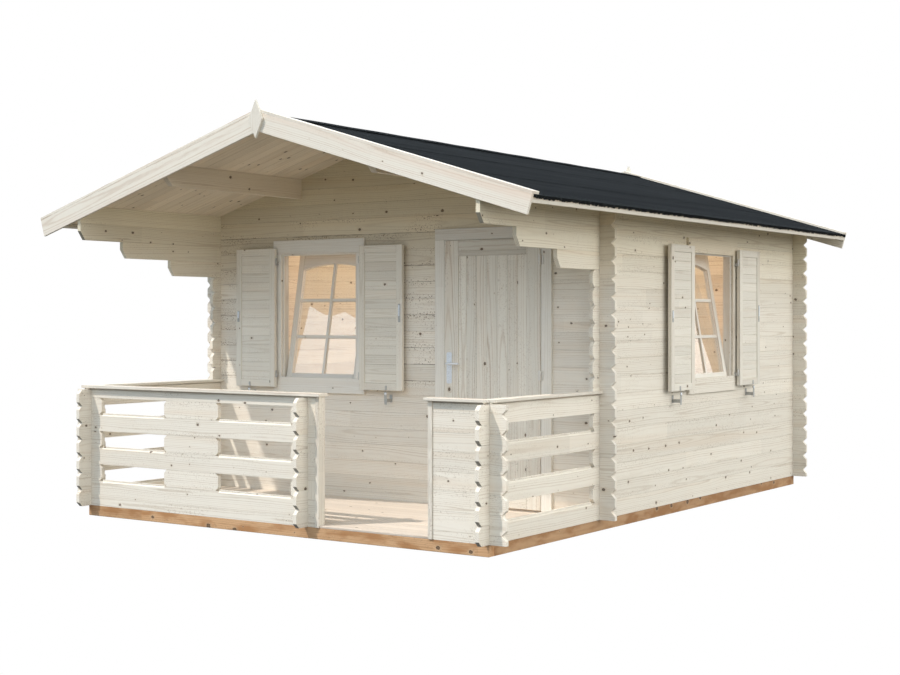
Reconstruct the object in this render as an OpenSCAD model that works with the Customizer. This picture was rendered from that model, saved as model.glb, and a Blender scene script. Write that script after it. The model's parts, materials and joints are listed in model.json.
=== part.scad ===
// Garden log cabin with one room and a roofed porch across its front.
// Millimetres, +Z up. The front faces -Y, and the origin is at ground level under the middle of the roof.

/* [Logs] */
// Height of one log course
log_h = 114; // [100:1:130]
// Thickness of a log
log_t = 28; // [22:1:40]
// Height of the starter course under the front and back walls
starter_h = 57; // [40:1:64]
// Length of a log end past the wall that it crosses
end_over = 110; // [70:1:140]
// Length of a side wall log's front end past the room's front wall
front_end_over = 90; // [70:1:140]
// Bevel on the corners of a log end
end_bevel = 28; // [8:1:30]
// Bevel on the corners of a rail block's inner ends
block_bevel = 22; // [8:1:30]
// Courses in a side wall
wall_courses = 18; // [18:1:20]
// Courses in the porch rail
rail_courses = 7; // [5:2:7]

/* [Plan] */
// Width over the side walls
cabin_w = 3292; // [3100:1:3600]
// Depth of the room over its front and back walls
room_l = 3299; // [2800:1:4000]
// Depth of the porch, from the rail's face to the room's front wall
porch_l = 1294; // [1150:1:1700]

/* [Base] */
// Height of the foundation beams
base_h = 70; // [45:1:120]
// Width of a foundation beam
beam_w = 60; // [45:1:90]
// Distance of the beams inside the wall faces
base_inset = 4; // [0:1:20]
// Joists under the room
room_joists = 4; // [2:1:7]
// Joists under the porch
porch_joists = 1; // [1:1:3]
// Thickness of the floor boards
floor_t = 14; // [10:1:28]

/* [Porch rail] */
// Left edge of the porch entrance, from the centre line
entrance_x = 405; // [300:1:500]
// Width of the porch entrance
entrance_w = 819; // [700:1:900]
// Thickness of the boards that close the rail ends
end_board_t = 28; // [18:1:40]
// Width of the boards that close the rail ends
end_board_w = 60; // [45:1:100]
// Distance that an end board stands in front of the rail
end_board_proud = 8; // [2:1:20]
// Length of a front corner block inside the side rail's outer face
front_block_l = 130; // [100:1:260]
// Length of a left side block inside the front rail's outer face
left_block_l = 130; // [100:1:260]
// Length of a right side block inside the front rail's outer face
right_block_l = 172; // [120:1:260]
// Length of a middle block
mid_block_l = 483; // [300:1:600]
// Middle of the middle blocks, left of the centre line
mid_block_x = 680; // [600:1:760]
// Distance of the brace stack from the end board
brace_inset = 65; // [40:1:100]
// Thickness of the handrail
handrail_t = 18; // [14:1:30]
// Overhang of the handrail past both log faces
handrail_over = 30; // [10:1:50]
// Overhang of the handrail past the outer face of the left rail
handrail_left_over = 46; // [10:1:60]
// Overhang of the handrail past an end board
handrail_end_over = 18; // [0:1:40]
// Cut-off on the handrail's left corner
left_corner_cut = 6; // [2:1:60]
// Cut-off on the handrail's right corner
right_corner_cut = 52; // [2:1:60]
// Height of the tongue under the handrail
tongue_h = 10; // [6:1:14]
// Width of the tongue under the handrail
tongue_w = 10; // [6:1:16]

/* [Corbels] */
// Reach of the lowest corbel in front of the room
corbel_low_l = 534; // [300:1:700]
// Reach of the middle corbel in front of the room
corbel_mid_l = 1004; // [750:1:1100]
// Length of the slanted cut under a corbel's end
corbel_cut_l = 42; // [20:1:80]
// Height of the slanted cut under a corbel's end
corbel_cut_h = 60; // [20:1:90]

/* [Roof] */
// Slope of the roof, in degrees
roof_angle = 16.83; // [14:0.01:20]
// Length of a roof side, from the ridge to the eaves
roof_slope_l = 2082; // [1950:1:2300]
// Distance of the bargeboard's face in front of the rail
roof_front_over = 117; // [60:1:250]
// Distance of the rear bargeboard's face behind the back wall
roof_back_over = 235; // [150:1:400]
// Thickness of the roof boards
roof_board_t = 20; // [16:1:28]
// Thickness of the roofing felt
felt_t = 4; // [3:1:8]
// Depth of the felt's edge that is folded over the eaves
felt_lip = 14; // [8:1:20]
// Width of the lath under the eaves
eaves_lath_w = 40; // [30:1:60]
// Thickness of the lath under the eaves
eaves_lath_t = 25; // [18:1:40]
// Width of a bargeboard
barge_w = 118; // [90:1:160]
// Thickness of a bargeboard
barge_t = 18; // [14:1:28]
// Width of the cover batten on a bargeboard
batten_w = 70; // [50:1:110]
// Thickness of the cover batten
batten_t = 18; // [14:1:28]
// Width of the diamond at the gable's tip
finial_w = 114; // [80:1:160]
// Height of the diamond at the gable's tip
finial_h = 241; // [160:1:300]
// Thickness of the diamond
finial_t = 18; // [14:1:28]
// Rise of the diamond's top above the cover battens
finial_rise = 53; // [20:1:100]
// Distance of a purlin's inner face from the centre line
purlin_x = 820; // [700:1:900]
// Thickness of a purlin
purlin_t = 45; // [35:1:70]
// Depth of a purlin at its inner face
purlin_h = 145; // [100:1:160]
// Distance of a purlin's ends behind the bargeboards
purlin_back = 19; // [5:1:60]
// Slanted cut under a purlin's end
purlin_cut = 60; // [20:1:90]

/* [Door] */
// Middle of the door, right of the centre line
door_x = 840; // [780:1:900]
// Width of the door leaf
door_w = 758; // [650:1:800]
// Height of the door leaf
door_h = 1784; // [1650:1:1800]
// Thickness of the door leaf
door_t = 40; // [30:1:50]
// Gap around the door leaf
door_gap = 7; // [6:0.5:10]
// Height of the door leaf's foot above the floor
door_lift = 16; // [12:1:30]
// Width of the leaf's stiles
door_stile_w = 110; // [80:1:140]
// Width of the leaf's top and bottom rails
door_rail_w = 106; // [60:1:180]
// Depth of the planked panel behind the stiles
door_panel_deep = 6; // [2:1:10]
// Thickness of the door frame's jambs and head
jamb_t = 34; // [25:1:50]
// Height of the threshold
threshold_h = 22; // [15:1:24]
// Width of the boards that trim the door and windows
trim_w = 75; // [60:1:90]
// Thickness of the boards that trim the door and windows
trim_t = 20; // [14:1:24]

/* [Windows] */
// Middle of the front window, left of the centre line
front_window_x = 654; // [600:1:700]
// Middle of the side window, behind the room's front face
side_window_y = 1696; // [1450:1:1850]
// Width of a window opening
window_w = 748; // [600:1:780]
// Height of a window opening
window_h = 980; // [800:1:1000]
// Height of a window opening above the base
window_z = 802; // [750:1:850]
// Thickness of a window frame's members
frame_t = 28; // [20:1:40]
// Depth of a window frame from the wall's outer face
frame_d = 66; // [55:1:80]
// Width of a sash's stiles and foot
sash_w = 50; // [40:1:70]
// Width of a sash's head over the middle of its arch
sash_head_w = 86; // [60:1:110]
// Height that a tilted sash's head reaches behind the frame's head
sash_lap = 26; // [0:1:40]
// Thickness of a sash
sash_t = 40; // [30:1:42]
// Inward tilt of the sashes, in degrees
sash_tilt = 10; // [4:0.5:12]
// Rise of the arch under a sash's head
arch_rise = 45; // [20:1:70]
// Thickness of the glass
glass_t = 4; // [3:1:8]
// Height of the trim board over a window
head_trim_h = 103; // [80:1:130]
// Height of the sill board under a window
sill_board_h = 109; // [80:1:130]

/* [Shutters] */
// Distance of the shutters' middle from the window's, towards the cabin's front right corner
shutter_shift = 14; // [0:1:25]
// Height of a shutter
shutter_h = 1015; // [900:1:1050]
// Thickness of a shutter
shutter_t = 27; // [20:1:32]
// Distance of an open shutter's back from the wall
shutter_off = 32; // [28:1:45]
// Height of a shutter's foot above the base
shutter_z = 783; // [730:1:800]
// Gap between two closed shutters
shutter_gap = 6; // [5:0.5:10]
// Width of a shutter's frame
shutter_frame_w = 50; // [35:1:70]
// Depth of a shutter's boards behind its frame
shutter_deep = 5; // [2:1:9]

/* [Fittings] */
// Radius of a door hinge's knuckles
hinge_r = 7; // [5:0.5:8]
// Height of a door hinge
hinge_h = 64; // [50:1:120]
// Width of one plate of a door hinge
hinge_plate_w = 12; // [10:1:30]
// Thickness of a hinge plate
hinge_plate_t = 4; // [3:0.5:5]
// Radius of a shutter hinge's knuckles
pintle_r = 6; // [5:0.5:8]
// Height of a shutter hinge's knuckle
pintle_h = 26; // [18:1:40]
// Distance of a shutter's edge from its hinge axis
pintle_reach = 6; // [6:0.5:10]
// Distance of the shutters' hinge axes outside the window's clear width, before the shift
pintle_out = 39; // [30:1:45]
// Width of the door's handle plate
plate_w = 42; // [34:1:50]
// Height of the door's handle plate
plate_h = 213; // [160:1:250]
// Thickness of the door's handle plate
plate_t = 4; // [2:0.5:6]
// Distance of the handle plate's middle from the leaf's free edge
plate_inset = 38; // [30:1:60]
// Height of the lever above the leaf's foot
lever_z = 950; // [850:1:1050]
// Length of the lever
lever_l = 105; // [80:1:130]
// Radius of the lever's bar and neck
lever_r = 8; // [6:0.5:10]
// Distance of the lever's bar from the plate
lever_off = 42; // [35:1:55]
// Width of a shutter catch's arm and plates
catch_w = 22; // [14:1:30]
// Thickness of a shutter catch's metal
catch_t = 4; // [3:0.5:6]
// Height of a shutter catch's wall plate
catch_h = 54; // [30:1:70]
// Distance of a shutter catch's wall plate under the shutter
catch_drop = 30; // [10:1:60]

/* [Hidden] */

$fn = 48;

// Hairline joint between neighbouring logs and boards
joint = 0.4;
// Clearance beside a log in its corner notch
notch_clear = 0.2;
// Clearance under the roof and around the purlins
seat_clear = 0.2;
// Clearance between the two halves of a hinge and behind the lever
pivot_clear = 0.5;
// Clearance between a door hinge's knuckles and what its plates lie on
knuckle_clear = 2;
// Clearance at the edges of a glass pane
glass_clear = 0.2;
// Clearance beside a sash, and behind its foot in the frame
sash_clear = 10;
sash_foot_clear = 4;
// Height of a sill board's top above the foot of the window opening
sill_lap = 56;
// Clearance between a shutter and its catch
catch_clear = 7;
// Overrun of cuts past the faces that they go through
overrun = 10;

// Shares of a log's height that meet in a corner notch, and of a door hinge that its middle knuckle takes
lap_share = 0.25;
knuckle_share = 0.34;
// Heights of the hinges as shares of the leaf's height
hinge_shares = [0.495, 0.92];
pintle_shares = [0.095, 0.905];
// Place of a shutter catch as a share of the shutter's width from its hinge
catch_share = 0.64;
// Height of a shutter catch's arm as a share of its wall plate's
catch_arm_share = 0.4;

cabin_l = porch_l + room_l;
half_w = cabin_w / 2;
back_y = cabin_l - log_t;
floor_z = base_h + floor_t;

// Notch depths of the side logs and of the front and back logs, which lie half a course higher
lap = log_h * lap_share;
low_lap = log_h - lap - starter_h;
high_lap = starter_h - lap;

function side_z(course) = base_h + course * log_h;
function cross_z(course) = base_h + starter_h + course * log_h;

eaves_z = side_z(wall_courses);
rail_top_z = side_z(rail_courses);
ridge_z = eaves_z + half_w * tan(roof_angle);
top_log_extra = log_t * tan(roof_angle);
gable_courses = ceil((ridge_z - cross_z(wall_courses - 1)) / log_h);
purlin_foot_z = ridge_z - purlin_x * tan(roof_angle) - purlin_h;
handrail_z = rail_top_z + tongue_h;

// Layers of the roof, measured square to its slope from the boards' underside
felt_n = roof_board_t + felt_t;
batten_n = felt_n + batten_t;

roof_y0 = -roof_front_over;
roof_y1 = cabin_l + roof_back_over;
deck_y0 = roof_y0 + barge_t;
deck_y1 = roof_y1 - barge_t;
mid_y = (roof_y0 + roof_y1) / 2;

plain = [0, 0];
bevel = [end_bevel, end_bevel];
block_cut = [block_bevel, block_bevel];
corbel_cut = [corbel_cut_l, corbel_cut_h];

left_end_x = entrance_x - end_board_t;
right_end_x = entrance_x + entrance_w + end_board_t;
brace_x = left_end_x - brace_inset - log_t;

door_x0 = door_x - door_w / 2;
door_x1 = door_x + door_w / 2;
door_z0 = floor_z + door_lift;
door_z1 = door_z0 + door_h;
door_y = porch_l - trim_t;
doorway_x0 = door_x0 - door_gap - jamb_t;
doorway_x1 = door_x1 + door_gap + jamb_t;
doorway_z1 = door_z1 + door_gap + jamb_t;
hinge_x = door_x1 + door_gap / 2;
hinge_y = door_y - hinge_r - knuckle_clear;
knuckle = hinge_h * knuckle_share;
handle_x = door_x0 + plate_inset;
handle_z = door_z0 + lever_z;

window_z0 = base_h + window_z;
window_z1 = window_z0 + window_h;
clear_w = window_w - frame_t * 2;
clear_h = window_h - frame_t * 2;
sash_out_w = clear_w - sash_clear * 2;
sash_out_h = clear_h + sash_lap;
sash_foot_z = window_z0 + frame_t + sash_t * sin(sash_tilt) + seat_clear;
sash_y = frame_d - sash_t * cos(sash_tilt) - sash_foot_clear;
pane_w = sash_out_w - sash_w * 2;
pane_h = sash_out_h - sash_w - sash_head_w;
arch_r = (pane_w * pane_w / 4 + arch_rise * arch_rise) / (arch_rise * 2);

shutter_z0 = base_h + shutter_z;
pintle_x = clear_w / 2 + pintle_out;
shutter_w = pintle_x - pintle_reach - shutter_gap / 2;
pintle_y = -shutter_off - shutter_t / 2;

// Moves the cabin so that the middle of the roof stands on the origin
module placed() {
  translate([0, -mid_y, 0]) children();
}

// Prism along X of an outline drawn in Y and Z, from x0 over a thickness
module across_x(x0, thick, outline) {
  translate([x0, 0, 0]) rotate([90, 0, 90]) linear_extrude(thick) polygon(outline);
}

// Prism along Y of an outline drawn in X and Z, from y0 over a thickness
module across_y(y0, thick, outline) {
  translate([0, y0 + thick, 0]) rotate([90, 0, 0]) linear_extrude(thick) polygon(outline);
}

// Box between two corners
module box(low, high) {
  translate(low) cube(high - low);
}

// Outline of a log in its length and height, with a cut on each corner and notches in both edges
function log_outline(a, b, z, h, a_low, a_high, b_low, b_high, low, high) =
  let (z0 = z + joint / 2, z1 = z + h - joint / 2)
  concat(
    a_low[0] > 0 ? [[a, z0 + a_low[1]], [a + a_low[0], z0]] : [[a, z0]],
    [for (n = low) each [[n[0], z0], [n[0], z0 + n[2]], [n[1], z0 + n[2]], [n[1], z0]]],
    b_low[0] > 0 ? [[b - b_low[0], z0], [b, z0 + b_low[1]]] : [[b, z0]],
    b_high[0] > 0 ? [[b, z1 - b_high[1]], [b - b_high[0], z1]] : [[b, z1]],
    [for (i = [len(high) - 1 : -1 : 0]) let (n = high[i])
      each [[n[1], z1], [n[1], z1 - n[2]], [n[0], z1 - n[2]], [n[0], z1]]],
    a_high[0] > 0 ? [[a + a_high[0], z1], [a, z1 - a_high[1]]] : [[a, z1]]
  );

// Notches of one depth where logs that start at the given places cross
function notches(starts, depth) =
  depth > 0 ? [for (s = starts) [s - notch_clear, s + log_t + notch_clear, depth]] : [];

// Log that runs front to back, as in the side walls
module side_log(x0, course, a, b, a_low, a_high, starts, extra = 0) {
  across_x(x0, log_t, log_outline(a, b, side_z(course), log_h + extra, a_low, a_high, bevel, bevel,
    notches(starts, lap), notches(starts, lap + extra)));
}

// Log that runs from side to side, as in the front wall
module cross_log(y0, course, a, b, a_end, b_end, starts) {
  starter = course < 0;
  z = starter ? base_h : cross_z(course);
  h = starter ? starter_h : log_h;
  across_y(y0, log_t, log_outline(a, b, z, h, starter ? plain : a_end, a_end, starter ? plain : b_end, b_end,
    notches(starts, starter ? 0 : low_lap), notches(starts, high_lap)));
}

// Part log that tops the front rail, level with the side rails
module rail_top_log(a, b, a_end, b_end, starts) {
  course = rail_courses - 1;
  across_y(0, log_t, log_outline(a, b, cross_z(course), log_h - starter_h, a_end, plain, b_end, plain,
    notches(starts, low_lap), []));
}

// Everything below the roof boards
module under_roof() {
  reach = roof_slope_l;
  foot = ridge_z - reach * tan(roof_angle);
  translate([0, 0, -seat_clear])
    across_y(roof_y0, roof_y1 - roof_y0,
      [[-reach, 0], [reach, 0], [reach, foot], [0, ridge_z], [-reach, foot]]);
}

// Layer of the right roof side between two heights above the boards' underside
module roof_layer(n0, n1, s0, s1, y0, y1) {
  slant = tan(roof_angle);
  ridge = s0 == 0;
  translate([0, 0, ridge_z]) rotate([0, roof_angle, 0])
    across_y(y0, y1 - y0, [
      [ridge ? joint / 2 - n0 * slant : s0, n0], [s1, n0],
      [s1, n1], [ridge ? joint / 2 - n1 * slant : s0, n1]
    ]);
}

// Space that the eaves laths take, where the roof ends close to the walls
module eaves_room() {
  for (side = [0, 1])
    mirror([side, 0, 0])
      roof_layer(-eaves_lath_t - seat_clear, overrun, roof_slope_l - eaves_lath_w - seat_clear,
        roof_slope_l + overrun, roof_y0, roof_y1);
}

// Opening of the front window, the side window or the doorway through the logs
module front_window_hole() {
  box([-front_window_x - window_w / 2, porch_l - overrun, window_z0],
    [-front_window_x + window_w / 2, porch_l + log_t + overrun, window_z1]);
}

module side_window_hole() {
  box([half_w - log_t - overrun, porch_l + side_window_y - window_w / 2, window_z0],
    [half_w + overrun, porch_l + side_window_y + window_w / 2, window_z1]);
}

module doorway_hole() {
  box([doorway_x0, porch_l - overrun, 0], [doorway_x1, porch_l + log_t + overrun, doorway_z1]);
}

// Front ends of a side wall's logs: rail courses reach the porch corner, the corbels carry the roof
function side_front(course) =
  course < rail_courses && course % 2 == 0 ? -end_over
  : course == wall_courses - 4 ? porch_l - corbel_low_l
  : course == wall_courses - 3 ? porch_l - corbel_mid_l
  : course >= wall_courses - 2 ? deck_y0 + seat_clear
  : porch_l - front_end_over;

// Logs of the right side wall without its window
module side_wall() {
  x0 = half_w - log_t;
  difference() {
    for (course = [0 : wall_courses - 1]) {
      rail = course < rail_courses && course % 2 == 0;
      corbel = course > wall_courses - 5;
      top = course == wall_courses - 1;
      front = side_front(course);
      starts = rail ? [0, porch_l, back_y] : [porch_l, back_y];
      low = corbel ? corbel_cut : bevel;
      high = corbel ? plain : bevel;
      if (top)
        intersection() {
          side_log(x0, course, front, cabin_l + end_over, plain, plain, starts, top_log_extra);
          under_roof();
        }
      else side_log(x0, course, front, cabin_l + end_over, low, high, starts);
    }
    // Seat of the handrail under the wall logs' front ends
    box([x0 - overrun, porch_l - front_end_over - overrun, rail_top_z],
      [half_w + overrun, porch_l, handrail_z + handrail_t + joint]);
    eaves_room();
  }
}

// Logs of a front or back wall up to the eaves
module cross_wall(y0) {
  reach = half_w + end_over;
  for (course = [-1 : wall_courses - 2])
    cross_log(y0, course, -reach, reach, bevel, bevel, [-half_w, half_w - log_t]);
}

// Logs of a gable, cut to the roof's slope and around the purlins
module gable(y0) {
  reach = half_w + end_over;
  difference() {
    intersection() {
      for (i = [0 : gable_courses - 1]) {
        course = wall_courses - 1 + i;
        starts = i == 0 ? [-half_w, half_w - log_t] : [];
        across_y(y0, log_t, log_outline(-reach, reach, cross_z(course), log_h, plain, plain, plain, plain,
          notches(starts, low_lap), []));
      }
      under_roof();
    }
    for (side = [0, 1])
      mirror([side, 0, 0])
        box([purlin_x - seat_clear, y0 - overrun, purlin_foot_z - seat_clear],
          [purlin_x + purlin_t + seat_clear, y0 + log_t + overrun, ridge_z]);
    eaves_room();
  }
}

module base_end_beams() {
  color("peru") placed() {
    x = half_w - base_inset;
    box([-x, 0, 0], [x, beam_w, base_h]);
    box([-x, cabin_l - beam_w, 0], [x, cabin_l, base_h]);
  }
}

module base_side_beams() {
  color("peru") placed()
    for (side = [0, 1])
      mirror([side, 0, 0])
        box([half_w - base_inset - beam_w, beam_w + joint, 0],
          [half_w - base_inset, cabin_l - beam_w - joint, base_h]);
}

module floor_joists() {
  x = half_w - base_inset - beam_w - joint;
  wall_y = porch_l + log_t / 2 - beam_w / 2;
  porch_step = wall_y / (porch_joists + 1);
  room_step = (cabin_l - beam_w - wall_y) / (room_joists + 1);
  starts = concat(
    [for (i = [1 : porch_joists]) i * porch_step],
    [for (i = [0 : room_joists]) wall_y + i * room_step]
  );
  color("peru") placed()
    for (y = starts)
      box([-x, y, 0], [x, y + beam_w, base_h]);
}

module room_floor() {
  x = half_w - log_t - joint;
  color("burlywood") placed()
    box([-x, porch_l + log_t + joint, base_h], [x, back_y - joint, floor_z]);
}

module porch_floor() {
  x = half_w - log_t - joint;
  x0 = entrance_x + joint;
  x1 = entrance_x + entrance_w - joint;
  y0 = log_t + joint;
  top = floor_z + overrun;
  color("burlywood") placed()
    difference() {
      translate([0, 0, base_h]) linear_extrude(floor_t) polygon([
        [-x, y0], [x0, y0], [x0, 0], [x1, 0], [x1, y0], [x, y0],
        [x, porch_l - joint], [-x, porch_l - joint]
      ]);
      // Room for the end boards and for the brace logs that stand on the base
      for (x = [left_end_x, right_end_x - end_board_t])
        box([x - joint, 0, 0], [x + end_board_t + joint, end_board_w - end_board_proud + joint, top]);
      box([brace_x - joint, 0, 0], [brace_x + log_t + joint, log_t + end_over + joint, top]);
    }
}

module left_wall_logs() {
  color("antiquewhite") placed() mirror([1, 0, 0]) side_wall();
}

module right_wall_logs() {
  color("antiquewhite") placed()
    difference() {
      side_wall();
      side_window_hole();
    }
}

module front_wall_logs() {
  color("antiquewhite") placed()
    difference() {
      cross_wall(porch_l);
      front_window_hole();
      doorway_hole();
    }
}

module back_wall_logs() {
  color("antiquewhite") placed() cross_wall(back_y);
}

module front_gable_logs() {
  color("wheat") placed()
    difference() {
      gable(porch_l);
      doorway_hole();
    }
}

module back_gable_logs() {
  color("wheat") placed() gable(back_y);
}

module front_rail_left_logs() {
  a = -half_w - end_over;
  b = left_end_x - joint;
  starts = [-half_w, brace_x];
  color("linen") placed() {
    cross_log(0, -1, a, b, bevel, plain, starts);
    for (course = [0 : 2 : rail_courses - 3])
      cross_log(0, course, a, b, bevel, plain, starts);
    rail_top_log(a, b, bevel, plain, starts);
  }
}

module front_rail_right_logs() {
  a = right_end_x + joint;
  b = half_w + end_over;
  starts = [half_w - log_t];
  color("linen") placed() {
    for (course = [-1 : rail_courses - 2])
      cross_log(0, course, a, b, plain, bevel, starts);
    rail_top_log(a, b, plain, bevel, starts);
  }
}

module rail_blocks() {
  mid_a = -mid_block_x - mid_block_l / 2;
  color("linen") placed()
    for (course = [1 : 2 : rail_courses - 2]) {
      cross_log(0, course, -half_w - end_over, -half_w + front_block_l, bevel, block_cut, [-half_w]);
      cross_log(0, course, mid_a, mid_a + mid_block_l, block_cut, block_cut, []);
      cross_log(0, course, brace_x - end_over, left_end_x - joint, block_cut, plain, [brace_x]);
      side_log(-half_w, course, -end_over, left_block_l, bevel, block_cut, [0]);
      side_log(half_w - log_t, course, -end_over, right_block_l, bevel, block_cut, [0]);
    }
}

module rail_brace_logs() {
  color("linen") placed()
    for (course = [0 : rail_courses - 1])
      side_log(brace_x, course, -end_over, log_t + end_over, bevel, bevel, [0]);
}

module rail_end_boards() {
  color("antiquewhite") placed()
    for (x = [left_end_x, right_end_x - end_board_t])
      box([x, -end_board_proud, base_h], [x + end_board_t, end_board_w - end_board_proud, handrail_z]);
}

// Corner of the handrail from its inner to its outer end along the mitre, moved by half a joint
function mitre(x_in, y_in, x_out, y_out, cut, dx, dy) =
  [[x_in + dx, y_in + dy], [x_out - sign(x_out) * cut / 2 + dx, y_out + cut / 2 + dy]];

module handrails() {
  in = half_w - log_t - handrail_over;
  out = half_w + handrail_over;
  left_out = half_w + handrail_left_over;
  y0 = -handrail_over;
  y1 = log_t + handrail_over;
  y2 = porch_l - joint;
  left_x = entrance_x + handrail_end_over;
  right_x = entrance_x + entrance_w - handrail_end_over;
  a = left_corner_cut;
  b = right_corner_cut;
  g = joint / 2;
  mid = (log_t - tongue_w) / 2;
  color("ivory") placed() {
    // Boards, mitred at the porch corners
    translate([0, 0, handrail_z]) linear_extrude(handrail_t) {
      polygon(concat([[-left_out + a, y0], [left_x, y0], [left_x, y1]],
        mitre(-in, y1, -left_out, y0, a, g, 0)));
      polygon(concat([[right_x, y1], [right_x, y0], [out - b, y0]],
        [for (i = [1, 0]) mitre(in, y1, out, y0, b, -g, 0)[i]]));
      polygon(concat(mitre(-in, y1, -left_out, y0, a, 0, g),
        [[-left_out, y0 + a], [-left_out, y2], [-in, y2]]));
      polygon(concat(mitre(in, y1, out, y0, b, 0, g), [[out, y0 + b], [out, y2], [in, y2]]));
    }
    // Tongues that the boards sit on
    box([-in, mid, rail_top_z], [left_end_x - joint, mid + tongue_w, handrail_z + g]);
    box([right_end_x + joint, mid, rail_top_z], [in, mid + tongue_w, handrail_z + g]);
    for (side = [0, 1])
      mirror([side, 0, 0])
        box([half_w - log_t + mid, y1, rail_top_z], [half_w - mid, y2, handrail_z + g]);
  }
}

module purlins() {
  y0 = deck_y0 + purlin_back;
  y1 = deck_y1 - purlin_back;
  z0 = purlin_foot_z;
  color("tan") placed()
    intersection() {
      for (x0 = [-purlin_x - purlin_t, purlin_x])
        across_x(x0, purlin_t, [
          [y0, z0 + purlin_cut], [y0 + purlin_cut, z0], [y1 - purlin_cut, z0], [y1, z0 + purlin_cut],
          [y1, ridge_z], [y0, ridge_z]
        ]);
      under_roof();
    }
}

module right_roof_boards() {
  color("tan") placed() roof_layer(0, roof_board_t, 0, roof_slope_l, deck_y0, deck_y1);
}

module left_roof_boards() {
  color("tan") placed() mirror([1, 0, 0]) roof_layer(0, roof_board_t, 0, roof_slope_l, deck_y0, deck_y1);
}

// Sheet of felt on the right roof side, folded down over the eaves
module felt_sheet() {
  slant = tan(roof_angle);
  s1 = roof_slope_l + felt_t;
  translate([0, 0, ridge_z]) rotate([0, roof_angle, 0])
    across_y(deck_y0, deck_y1 - deck_y0, [
      [joint / 2 - roof_board_t * slant, roof_board_t], [roof_slope_l, roof_board_t],
      [roof_slope_l, felt_n - felt_lip], [s1, felt_n - felt_lip], [s1, felt_n],
      [joint / 2 - felt_n * slant, felt_n]
    ]);
}

module right_roof_felt() {
  color("dimgray") placed() felt_sheet();
}

module left_roof_felt() {
  color("dimgray") placed() mirror([1, 0, 0]) felt_sheet();
}

module eaves_laths() {
  color("ivory") placed()
    for (side = [0, 1])
      mirror([side, 0, 0])
        roof_layer(-eaves_lath_t, 0, roof_slope_l - eaves_lath_w, roof_slope_l, deck_y0, deck_y1);
}

// Pair of bargeboards over a thickness from y0
module bargeboards(y0) {
  for (side = [0, 1])
    mirror([side, 0, 0])
      roof_layer(felt_n - barge_w, felt_n, 0, roof_slope_l, y0, y0 + barge_t);
}

module front_bargeboards() {
  color("ivory") placed() bargeboards(roof_y0);
}

module back_bargeboards() {
  color("ivory") placed() bargeboards(deck_y1);
}

module barge_battens() {
  color("ivory") placed()
    for (y0 = [roof_y0, roof_y1 - batten_w])
      for (side = [0, 1])
        mirror([side, 0, 0])
          roof_layer(felt_n, batten_n, 0, roof_slope_l, y0, y0 + batten_w);
}

module finials() {
  top = ridge_z + batten_n / cos(roof_angle) + finial_rise;
  mid = top - finial_h / 2;
  w = finial_w / 2;
  color("ivory") placed()
    for (y0 = [roof_y0 - finial_t, roof_y1])
      across_y(y0, finial_t, [[0, top - finial_h], [w, mid], [0, top], [-w, mid]]);
}

module door_frame() {
  y1 = porch_l + log_t;
  x0 = doorway_x0 + seat_clear;
  x1 = doorway_x1 - seat_clear;
  z1 = doorway_z1 - seat_clear;
  head_z = doorway_z1 - jamb_t;
  color("bisque") placed()
    intersection() {
      union() {
        box([x0, porch_l, base_h], [doorway_x0 + jamb_t, y1, z1]);
        box([doorway_x1 - jamb_t, porch_l, base_h], [x1, y1, z1]);
        box([doorway_x0 + jamb_t + joint, porch_l, head_z], [doorway_x1 - jamb_t - joint, y1, z1]);
      }
      under_roof();
    }
}

module door_trim() {
  x0 = doorway_x0 + jamb_t;
  x1 = doorway_x1 - jamb_t;
  z0 = floor_z + joint;
  z1 = doorway_z1 - jamb_t;
  color("bisque") placed()
    intersection() {
      union() {
        box([x0 - trim_w, door_y, z0], [x0, porch_l, z1 - joint]);
        box([x1, door_y, z0], [x1 + trim_w, porch_l, z1 - joint]);
        box([x0 - trim_w, door_y, z1], [x1 + trim_w, porch_l, z1 + trim_w]);
      }
      under_roof();
    }
}

module door_threshold() {
  x0 = doorway_x0 + jamb_t + joint;
  x1 = doorway_x1 - jamb_t - joint;
  color("burlywood") placed()
    box([x0, porch_l, base_h], [x1, porch_l + log_t, base_h + threshold_h]);
}

// Half of a door hinge around its axis: a plate to one side and knuckles at the given heights
module hinge_half(side, spans) {
  near = hinge_r + knuckle_clear;
  far = near + hinge_plate_w;
  box([side > 0 ? near : -far, near - hinge_plate_t, -hinge_h / 2],
    [side > 0 ? far : -near, near, hinge_h / 2]);
  for (s = spans) {
    translate([0, 0, s[0]]) cylinder(r = hinge_r, h = s[1] - s[0]);
    box([side > 0 ? 0 : -near - joint, near - hinge_plate_t, s[0]],
      [side > 0 ? near + joint : 0, near, s[1]]);
  }
}

module at_door_hinges() {
  for (share = hinge_shares)
    translate([hinge_x, hinge_y, door_z0 + door_h * share]) children();
}

module door_hinge_plates() {
  color("silver") placed() at_door_hinges()
    hinge_half(1, [[-hinge_h / 2, -knuckle / 2 - pivot_clear], [knuckle / 2 + pivot_clear, hinge_h / 2]]);
}

module door_hinges() {
  color("silver") placed() at_door_hinges() hinge_half(-1, [[-knuckle / 2, knuckle / 2]]);
}

module door_leaf() {
  color("wheat") placed()
    difference() {
      box([door_x0, door_y, door_z0], [door_x1, door_y + door_t, door_z1]);
      box([door_x0 + door_stile_w, door_y - overrun, door_z0 + door_rail_w],
        [door_x1 - door_stile_w, door_y + door_panel_deep, door_z1 - door_rail_w]);
    }
}

// Handle plate, with the lever's place a third of the way down it
module door_handle_plate() {
  lever_share = 0.36;
  color("silver") placed()
    box([handle_x - plate_w / 2, door_y - plate_t, handle_z - plate_h * (1 - lever_share)],
      [handle_x + plate_w / 2, door_y, handle_z + plate_h * lever_share]);
}

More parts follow.
